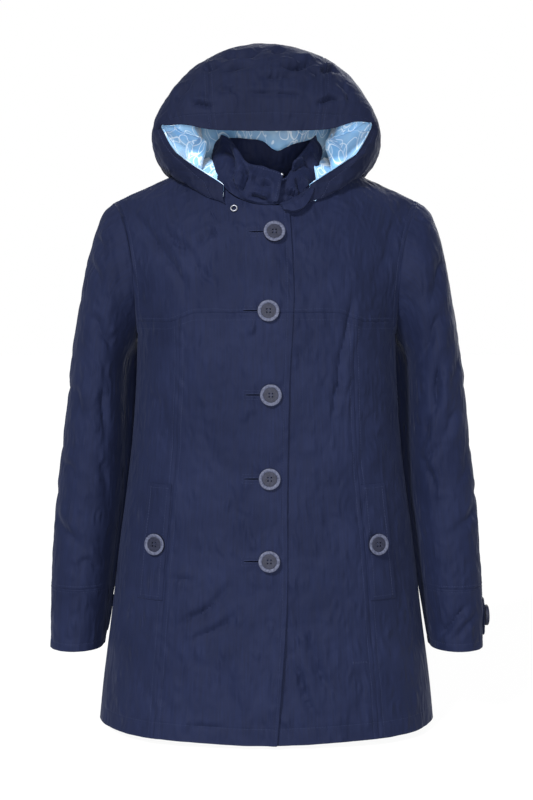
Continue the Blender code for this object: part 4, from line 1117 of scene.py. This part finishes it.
HALF_HOOD = 2 * TURN_LENGTH
HOOD_END = 7 * HOOP_LENGTH
hood_columns = net_lines(-HALF_HOOD, HALF_HOOD, STEP, seams=(-HALF_HOOD, -CROWN_SEAM, CROWN_SEAM, HALF_HOOD))
hood_rows = net_lines(0, HOOD_END, STEP, seams=(0, BRIM_STITCH, HOOD_END))
points = hood_points(hood_columns[None] / TURN_LENGTH, hood_rows[:, None] / HOOP_LENGTH)
hood = Net(points, hood_rows, hood_columns, HOOD_MIDDLE)
to_crown = np.abs(hood_columns)[None] - CROWN_SEAM
to_hem = HALF_HOOD - np.abs(hood_columns)[None]
to_brim = hood_rows[:, None]
heights = creases(hood, HOOD_CREASES) * HOOD_DEPTH + creases(hood, HOOD_BACK_CREASES, face=(0, 1, 0))
heights += uneven(hood.points, *HOOD_LUMPS, seed=6.6) + crumpled(hood.points, HOOD_FOLDS)
heights += seam_relief(to_crown, CROWN_STITCH) + puckers(hood, to_crown, 0.4, 3)
heights += puckers(hood, to_brim - BRIM_STITCH, 0.4, 8)
heights += puckers(hood, to_hem - HOOD_HEM_STITCHES[1], 0.35, 1)
heights *= ease(-2, 30, to_brim) * ease(-2, 14, to_hem)
heights -= 0.4 * bump(to_brim - BRIM_STITCH, 1.3)
heights -= 0.3 * bump(to_hem - HOOD_HEM_STITCHES[0], 1.1)
heights -= STITCH_SINK * bump(to_hem - HOOD_HEM_STITCHES[1], 1.2)
hood.raise_by(heights)
# The hood's panels take a copy of the navy cotton with its colours darkened. This is painted shade, so the
# hood, which catches more light from above, comes out as dark as the body.
hood_cotton_painted_shade = navy_cotton.copy()
hood_cotton_painted_shade.name = "navy_cotton_hood_painted_shade"
for element in hood_cotton_painted_shade.node_tree.nodes["Color Ramp"].color_ramp.elements:
    element.color = [HOOD_PAINTED_SHADE * value for value in element.color[:3]] + [1]
seams = [int(np.argmin(abs(hood_columns - place))) for place in (-CROWN_SEAM, CROWN_SEAM)]
# Columns: panel, its first and last column, flat size in metres, flat area
for name, columns, flat, area in (
    ("right", slice(0, seams[0] + 1), (0.2, 0.4), 0.054),
    ("centre", slice(seams[0], seams[1] + 1), (0.14, 0.44), 0.06),
    ("left", slice(seams[1], None), (0.2, 0.4), 0.054),
):
    panel = hood.cut(slice(None), columns)
    if name != "left":
        panel.points[:, -1, 0] -= HALF_GAP
    if name != "right":
        panel.points[:, 0, 0] += HALF_GAP
    wear(make_cloth(f"hood_{name}_cloth", panel, hood_cotton_painted_shade), f"hood_{name}")
for place in (-CROWN_SEAM, CROWN_SEAM):
    sew(hood, hood_rows[2:-2], place - CROWN_STITCH)
    sew(hood, hood_rows[2:-2], place + CROWN_STITCH)
sew(hood, BRIM_STITCH, hood_columns[4:-4])
for side in (-1, 1):
    for from_edge in HOOD_HEM_STITCHES:
        sew(hood, hood_rows[1:-2], side * (HALF_HOOD - from_edge))
make_stitches("stitches_hood", navy_thread)


# Columns of the print: size of its cells, turn, and how wide its loops are
LINING_LOOPS = ((34, 0.0, 0.42), (27, 0.7, 0.36), (42, 1.9, 0.46), (24, 2.7, 0.3))
LINING_WHITE = (0.50, 0.59, 0.68, 1)


def lining_colour():
    """Smooth sky-blue lining, cloudy, with thin white lines looping over each other."""
    material, tree, shader = start_material("sky_print", {"Roughness": 0.5, "Sheen Weight": 0.2})
    place = tree.nodes.new("ShaderNodeTexCoord").outputs["UV"]
    warp = add_node(tree, "TexNoise", "Color", {"Vector": place, "Scale": 28})
    bent = add_node(tree, "Mix", "Result", {"Factor": 0.012, "A": place, "B": warp},
                    data_type="RGBA", blend_type="LINEAR_LIGHT")
    ground = add_node(tree, "TexNoise", "Fac", {"Vector": place, "Scale": 34, "Detail": 3})
    colour = add_ramp(tree, ground, 0.35, (0.105, 0.26, 0.47), 0.66, (0.21, 0.36, 0.52))
    for size, turn, loop in LINING_LOOPS:
        spun = add_node(tree, "Mapping", "Vector",
                        {"Vector": bent, "Rotation": (0, 0, turn), "Location": (turn, -turn, 0)})
        from_middle = add_node(tree, "TexVoronoi", "Distance", {"Vector": spun, "Scale": size})
        off = add_node(tree, "Math", "Value", {0: from_middle, 1: loop}, operation="SUBTRACT")
        near = add_node(tree, "Math", "Value", {0: off}, operation="ABSOLUTE")
        line = add_node(tree, "MapRange", "Result",
                        {"Value": near, "From Min": 0.010, "From Max": 0.024, "To Min": 0.85, "To Max": 0})
        colour = add_node(tree, "Mix", "Result", {"Factor": line, "A": colour, "B": LINING_WHITE},
                          data_type="RGBA")
    feed(shader, {"Base Color": colour})
    return material


LINING_DEPTH = 2.2
LINING_TUCK = 1.6
LINING_FOLDS = 4.0
LINING_SAG = 62.0
CORNER_TUCK = 9.0
LINING_LIFT, LINING_WALL = 2.5, 0.6
SHOULDER_LINES, SHOULDER_LINE_STEP = 14, 4.0
NECK_OVAL = (77.0, 84.0, -7.0)


def line_shoulders(hem, lining_rows):
    """The lining on from the hood's hem, over the shoulders, to the collar's foot."""
    wide, deep, middle = NECK_OVAL
    inward = 1 / np.hypot(hem[:, 0] / wide, (hem[:, 1] - middle) / deep)
    neck = np.stack([hem[:, 0] * inward, middle + (hem[:, 1] - middle) * inward, hem[:, 2]], -1)
    length = 0.12 + 0.88 * ease(10, 75, lining_rows)
    length *= 1 - 0.9 * ease(5.2 * HOOP_LENGTH, 6.4 * HOOP_LENGTH, lining_rows)
    share = length[:, None, None] * (np.arange(1, SHOULDER_LINES + 1) / SHOULDER_LINES)[None, :, None]
    points = hem[:, None] + (neck[:, None] - hem[:, None]) * share
    rest = coat_height(points[..., 0], points[..., 1]) + LINING_LIFT
    points[..., 2] = rest + (hem[:, None, 2] - rest) * (1 - ease(0, 0.15, share[..., 0]))
    return points


lining = hood.cut(slice(1, -16), slice(6, -6))
from_rim = (lining.rows - lining.rows[0])[:, None]
from_hem = HALF_HOOD - np.abs(lining.columns)[None]
in_front = 1 - ease(4.2 * HOOP_LENGTH, 5.4 * HOOP_LENGTH, lining.rows)[:, None]
folds = np.abs(uneven(lining.points, 30, LINING_FOLDS, seed=14))
folds += np.abs(uneven(lining.points, 13, 1.2, seed=15))
folds *= ease(0, 25, from_rim) * ease(6, 40, from_hem) * in_front
sag = LINING_SAG * ease(0, 110, from_rim) * (1 - ease(190, 310, from_rim))
sag = sag * ease(6, 70, from_hem) * (1 - ease(160, 250, from_hem))
lining.raise_by(-LINING_DEPTH + 0.6 * (1 - in_front) - folds - sag)
heart = np.array(HOOD_MIDDLE) - lining.points
heart /= np.linalg.norm(heart, axis=-1, keepdims=True)
tuck = LINING_TUCK * (1 - ease(0, 12, np.minimum(from_rim, from_hem - 6)))
lining.points += heart * (tuck * in_front)[..., None]
corner = CORNER_TUCK * (1 - ease(0, 24, from_rim)) * (1 - ease(6, 34, from_hem))
lining.points[..., 0] += np.sign(lining.points[..., 0]) * 0.87 * corner
lining.points[..., 1] += 0.49 * corner
ends = [line_shoulders(lining.points[:, column], lining.rows) for column in (0, -1)]
beyond = SHOULDER_LINE_STEP * np.arange(1, SHOULDER_LINES + 1)
columns = [lining.columns[0] - beyond[::-1], lining.columns, lining.columns[-1] + beyond]
points = [ends[0][:, ::-1], lining.points, ends[1]]
lining = Net(np.concatenate(points, axis=1), lining.rows, np.concatenate(columns), HOOD_MIDDLE)
cloth = make_cloth("hood_lining_cloth", lining, lining_colour(), LINING_WALL)
wear(cloth, "hood_lining")

# ---- Pocket welts ------------------------------------------------------------------------------
# A doubled strip of the cotton over each pocket mouth, topstitched all round. It lies on the side
# front, and a button closes it.
WELT_SHARES, WELT_Z = (0.65, 0.81), (-427.0, -575.0)
WELT_WIDTH, WELT_LENGTH, WELT_STITCH = 31.0, 148.0, 4.5
WELT_LIFT, WELT_WALL = 2.4, 1.8
for side, hand in (("right", -1), ("left", 1)):
    columns = net_lines(0, WELT_WIDTH, 2.2)
    rows = net_lines(0, WELT_LENGTH, 3.0)
    share = WELT_SHARES[0] + (WELT_SHARES[1] - WELT_SHARES[0]) * columns[None] / WELT_WIDTH
    height = WELT_Z[0] + (WELT_Z[1] - WELT_Z[0]) * rows[:, None] / WELT_LENGTH
    points = coat_points(share + 0 * height, height + 0 * share, "front", hand)
    welt = Net(points, rows, columns, (hand * 60, 0, -500))
    rim = np.minimum(np.minimum(rows, WELT_LENGTH - rows)[:, None],
                     np.minimum(columns, WELT_WIDTH - columns)[None])
    heights = WELT_LIFT - 0.8 * bump(rim, 1.8) - 0.4 * bump(rim - WELT_STITCH, 1.3)
    welt.raise_by(heights + uneven(welt.points, 16, 0.5, 1.6))
    cloth = make_cloth(f"pocket_welt_{side}_cloth", welt, wall=WELT_WALL)
    wear(cloth, f"pocket_welt_{side}")
    sew(welt, rows[1:-1], WELT_STITCH)
    sew(welt, rows[1:-1], WELT_WIDTH - WELT_STITCH)
    sew(welt, WELT_STITCH, columns[1:-1])
    sew(welt, WELT_LENGTH - WELT_STITCH, columns[1:-1])
make_stitches("stitches_welts", navy_thread)

# ---- Buttons -----------------------------------------------------------------------------------
# Turned four-hole buttons of slate resin, 28 mm across, with a wide pale rim, a groove and a mottled
# middle, sewn on with navy thread.
BUTTON_RADIUS, BUTTON_THICKNESS = 14.0, 4.0
# Rings turned into the face from its edge inwards: how wide, and how far up or down
BUTTON_RINGS = ((1.0, 0.5), (1.6, 0.15), (1.5, -0.7), (0.5, -0.5), (0.35, 0.4), (1.6, 0.1), (3.0, -0.1))
BUTTON_EDGE = 0.5
HOLE_PLACE, HOLE_RADIUS = 2.85, 1.1
# Radii of the pale rim. It stops short of the edge, so the outer bevel keeps the dark colour as painted
# shade.
PALE_RIM_AND_SHADED_EDGE = (9.6, 13.7)
BUTTON_TIP = 0.35


def button_colour():
    """Satin slate resin: the rim is worn pale, the middle is darker and mottled, and the outer edge is left
    dark as painted shade.
    """
    material, tree, shader = start_material("slate_resin", {"Roughness": 0.55, "Specular IOR Level": 0.15})
    tint = add_node(tree, "Attribute", "Fac", {}, attribute_name="pale")
    place = tree.nodes.new("ShaderNodeTexCoord").outputs["Object"]
    mottle = add_node(tree, "TexNoise", "Fac", {"Vector": place, "Scale": 420, "Detail": 4})
    dark = add_ramp(tree, mottle, 0.35, (0.0035, 0.0045, 0.0115), 0.7, (0.0085, 0.0100, 0.0220))
    pale = add_ramp(tree, mottle, 0.3, (0.020, 0.023, 0.042), 0.75, (0.060, 0.067, 0.102))
    both = add_node(tree, "Mix", "Result", {"Factor": tint, "A": dark, "B": pale}, data_type="RGBA")
    feed(shader, {"Base Color": both})
    return material


def model_button():
    """One button, turned on its axis, drilled, and left flat at the origin facing +Z."""
    bpy.ops.mesh.primitive_cylinder_add(vertices=64, radius=BUTTON_RADIUS * MM, depth=BUTTON_THICKNESS * MM,
                                        location=(0, 0, BUTTON_THICKNESS / 2 * MM))
    button = bpy.context.object
    button.name = "button_blank"
    bpy.ops.object.transform_apply(location=True)
    bpy.ops.object.mode_set(mode="EDIT")
    bpy.ops.mesh.select_all(action="DESELECT")
    bpy.ops.object.mode_set(mode="OBJECT")
    for face in button.data.polygons:
        face.select = face.normal.z > 0.9
    bpy.ops.object.mode_set(mode="EDIT")
    for width, rise in BUTTON_RINGS:
        bpy.ops.mesh.inset(thickness=width * MM, depth=rise * MM)
    bpy.ops.object.mode_set(mode="OBJECT")
    bevel = button.modifiers.new("edge", "BEVEL")
    bevel.width = BUTTON_EDGE * MM
    bevel.segments = 3
    bevel.limit_method = "ANGLE"
    bevel.angle_limit = math.radians(50)
    bpy.ops.object.modifier_apply(modifier="edge")
    for k in range(4):
        angle = math.pi / 4 + k * math.pi / 2
        x, y = HOLE_PLACE * MM * math.cos(angle), HOLE_PLACE * MM * math.sin(angle)
        bpy.ops.mesh.primitive_cylinder_add(vertices=20, radius=HOLE_RADIUS * MM, depth=20 * MM,
                                            location=(x, y, 0))
        drill = bpy.context.object
        bpy.context.view_layer.objects.active = button
        hole = button.modifiers.new("hole", "BOOLEAN")
        hole.operation = "DIFFERENCE"
        hole.object = drill
        bpy.ops.object.modifier_apply(modifier="hole")
        bpy.data.objects.remove(drill)
    # The pale rim is marked here. The bevel outside it stays dark as painted shade round the edge.
    pale = button.data.attributes.new("pale", "FLOAT", "POINT")
    for vertex, value in zip(button.data.vertices, pale.data):
        out = math.hypot(vertex.co.x, vertex.co.y) / MM
        value.value = 1.0 if PALE_RIM_AND_SHADED_EDGE[0] < out < PALE_RIM_AND_SHADED_EDGE[1] else 0.0
    button.data.shade_smooth()
    button.data.set_sharp_from_angle(angle=SHARP_ANGLE)
    return button


THREAD_REACH, THREAD_FOOT, THREAD_RISE = 2.0, 2.2, 1.5
PLY_OFFSETS, PLY_RADIUS = (-0.35, 0.0, 0.35), 0.2
PLY_STEPS, PLY_CORNERS = 6, 6


def model_thread():
    """Two crossed bars of thread through the button's holes, each a bowed strand of three plies."""
    points, faces = [], []
    for start, end in (((-1, -1), (1, 1)), ((-1, 1), (1, -1))):
        start, end = Vector((*start, 0)) * THREAD_REACH, Vector((*end, 0)) * THREAD_REACH
        side = Vector((start.y - end.y, end.x - start.x, 0)).normalized()
        for ply in PLY_OFFSETS:
            first = len(points)
            for k in range(PLY_STEPS + 1):
                middle = start.lerp(end, k / PLY_STEPS) + side * ply
                middle.z = THREAD_FOOT + THREAD_RISE * math.sin(math.pi * k / PLY_STEPS) ** 0.35
                for corner in range(PLY_CORNERS):
                    angle = corner * 2 * math.pi / PLY_CORNERS
                    up = Vector((0, 0, PLY_RADIUS * math.sin(angle)))
                    points.append((middle + side * PLY_RADIUS * math.cos(angle) + up) * MM)
            last = first + PLY_CORNERS * PLY_STEPS
            for ring in range(first, last, PLY_CORNERS):
                for corner in range(PLY_CORNERS):
                    a, b = ring + corner, ring + (corner + 1) % PLY_CORNERS
                    faces.append((a, b, b + PLY_CORNERS, a + PLY_CORNERS))
            faces.append(tuple(range(first + PLY_CORNERS - 1, first - 1, -1)))
            faces.append(tuple(range(last, last + PLY_CORNERS)))
    mesh = bpy.data.meshes.new("button_thread")
    mesh.from_pydata(points, [], faces)
    mesh.shade_smooth()
    return mesh


def facing(point, out):
    """A placing at a point, with Z out of the cloth and X level."""
    out = out.normalized()
    level = Vector((0, 0, 1)).cross(out).normalized()
    placing = Matrix((level, out.cross(level), out)).transposed().to_4x4()
    placing.translation = point * MM
    return placing


def stand_on(net, node):
    """Where a button stands on the cloth, straight under its middle."""
    spot = middle_of(node)
    point, out = net.seat(spot.x, spot.z)
    foot = spot - out * (spot - point).dot(out)
    return net.seat(foot.x, foot.z)


FRONT_BUTTON_LIFT, POCKET_BUTTON_LIFT, CUFF_BUTTON_LIFT = 0.3, 1.4, 0.6
CUFF_BUTTON_ROW, CUFF_BUTTON_FROM_END = 8.54, 12
slate_resin = button_colour()
blank = model_button()
thread = model_thread()
seats = {}
for number in range(1, 6):
    seats[f"button_front_{number}"] = (*stand_on(overlap, f"button_front_{number}"), FRONT_BUTTON_LIFT)
for side, hand in (("right", -1), ("left", 1)):
    point, out = stand_on(fronts[side], f"button_pocket_{side}")
    tipped = out.lerp(Vector((0, -1, 0)), BUTTON_TIP)
    seats[f"button_pocket_{side}"] = (point + out * POCKET_BUTTON_LIFT, tipped, WELT_LIFT)
    row, turn = CUFF_BUTTON_ROW, TAB_TURNS[side][1] - CUFF_BUTTON_FROM_END
    seat, beside, under = (Vector(sleeve_points(np.float64(a), np.float64(b), hand))
                           for a, b in ((turn, row), (turn + 2, row), (turn, row + 0.1)))
    out = (beside - seat).cross(under - seat)
    out = out if out.x * hand > 0 else -out
    seats[f"button_cuff_{side}"] = (seat, out, TAB_LIFT + CUFF_BUTTON_LIFT)
for name, (point, out, lift) in seats.items():
    placing = facing(point + out.normalized() * lift, out)
    mesh = blank.data.copy()
    mesh.name = f"{name}_turned"
    mesh.transform(placing)
    mesh.materials.clear()
    wear(add_piece(f"{name}_turned", mesh, slate_resin), name)
    strands = thread.copy()
    strands.transform(placing)
    carry(add_piece(f"{name}_thread", strands, navy_thread))
bpy.data.objects.remove(blank)

# ---- Metal trims -------------------------------------------------------------------------------
# A small nickel-plated ring, sewn on below the hood's right front corner, and a domed stud of the same
# plate, pressed into the end of the collar.
RING_RADIUS, RING_THICKNESS, RING_MIDDLE, RING_LIFT = 3.9, 1.15, 1.2, 0.4
STUD_RADIUS, STUD_FLATNESS = 2.0, 0.6


def nickel_colour():
    """Satin nickel plate with fine handling marks."""
    plate = {"Base Color": (0.15, 0.155, 0.175, 1), "Metallic": 1}
    material, tree, shader = start_material("satin_nickel", plate)
    place = tree.nodes.new("ShaderNodeTexCoord").outputs["Object"]
    marks = add_node(tree, "TexNoise", "Fac", {"Vector": place, "Scale": 900})
    wear_of_plate = add_node(tree, "MapRange", "Result", {"Value": marks, "To Min": 0.35, "To Max": 0.55})
    feed(shader, {"Roughness": wear_of_plate})
    return material


satin_nickel = nickel_colour()
bpy.ops.mesh.primitive_torus_add(major_segments=40, minor_segments=16, major_radius=RING_RADIUS * MM,
                                 minor_radius=RING_THICKNESS * MM, location=(0, 0, RING_MIDDLE * MM))
ring = bpy.context.object
ring.name = "snap_ring_nickel"
bpy.ops.object.transform_apply(location=True)
spot = middle_of("snap_ring")
point, out = overlap.seat(spot.x, spot.z)
ring.data.transform(facing(point + out * RING_LIFT, out))
ring.data.shade_smooth()
ring.data.materials.append(satin_nickel)
wear(ring, "snap_ring")

bpy.ops.mesh.primitive_uv_sphere_add(segments=24, ring_count=12, radius=STUD_RADIUS * MM)
stud = bpy.context.object
stud.name = "collar_stud_nickel"
stud.data.transform(Matrix.Diagonal((1, STUD_FLATNESS, 1, 1)))
spot = middle_of("collar_stud")
stud.data.transform(Matrix.Translation(collar.seat(spot.x, spot.z)[0] * MM))
stud.data.shade_smooth()
stud.data.materials.append(satin_nickel)
wear(stud, "collar_stud")

# ---- Room, light and camera --------------------------------------------------------------------
# A white floor just below the hem that runs on into a white surround. A sun from the upper left models
# the folds, two weaker ones soften them, and a lamp in front reaches into the hood. The surround lights
# the coat less brightly than it looks, so that the folds keep their shade.
FLOOR_SIZE, FLOOR_DROP = 30, 0.006
SURROUND_LIGHT, SURROUND_LOOK = 0.42, 1.0
# Columns: name, place that it shines from, strength, softness in degrees
SUNS = (
    ("lamp_key", (-1.1, -2.0, 1.7), 5.6, 12),
    ("lamp_fill", (2.2, -1.6, 0.3), 1.0, 24),
    ("lamp_back", (0.8, 2.6, 0.9), 2.6, 40),
)
LAMP_PLACE, LAMP_SIZE, LAMP_POWER = (0.1, -3.1, -0.25), 0.6, 112
CAMERA_PLACE, CAMERA_DOWN, CAMERA_LENS = (0, -2.3, -0.19), 3.36, 76.67

bpy.ops.object.select_all(action="DESELECT")
bpy.ops.mesh.primitive_plane_add(size=FLOOR_SIZE, location=(0, 0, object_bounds()[0].z - FLOOR_DROP))
floor = bpy.context.object
floor.name = "studio_floor"
floor.data.materials.append(start_material("studio_white", {
    "Base Color": (0.08, 0.08, 0.08, 1), "Roughness": 0.9, "Specular IOR Level": 0,
    "Emission Color": (1, 1, 1, 1), "Emission Strength": 0.93})[0])

world = bpy.data.worlds.new("studio")
bpy.context.scene.world = world
world.use_nodes = True
seen = world.node_tree.nodes.new("ShaderNodeLightPath").outputs["Is Camera Ray"]
glow = add_node(world.node_tree, "MapRange", "Result",
                {"Value": seen, "To Min": SURROUND_LIGHT, "To Max": SURROUND_LOOK})
feed(world.node_tree.nodes["Background"], {"Color": (1, 1, 1, 1), "Strength": glow})


def place_in_room(name, data, place, turn):
    """Puts a lamp or the camera in its place."""
    holder = bpy.data.objects.new(name, data)
    holder.location = place
    holder.rotation_euler = turn
    bpy.context.scene.collection.objects.link(holder)
    return holder


for name, place, power, softness in SUNS:
    sun = bpy.data.lights.new(name, "SUN")
    sun.angle = math.radians(softness)
    sun.energy = power
    place_in_room(name, sun, place, Vector(place).to_track_quat("Z", "Y").to_euler())
lamp = bpy.data.lights.new("lamp_front", "AREA")
lamp.size = LAMP_SIZE
lamp.energy = LAMP_POWER
place_in_room("lamp_front", lamp, LAMP_PLACE, (math.radians(90), 0, 0))
camera = bpy.data.cameras.new("front_camera")
camera.lens = CAMERA_LENS
bpy.context.scene.camera = place_in_room("front_camera", camera, CAMERA_PLACE,
                                         (math.radians(90 - CAMERA_DOWN), 0, 0))
bpy.context.scene.view_settings.view_transform = "Standard"
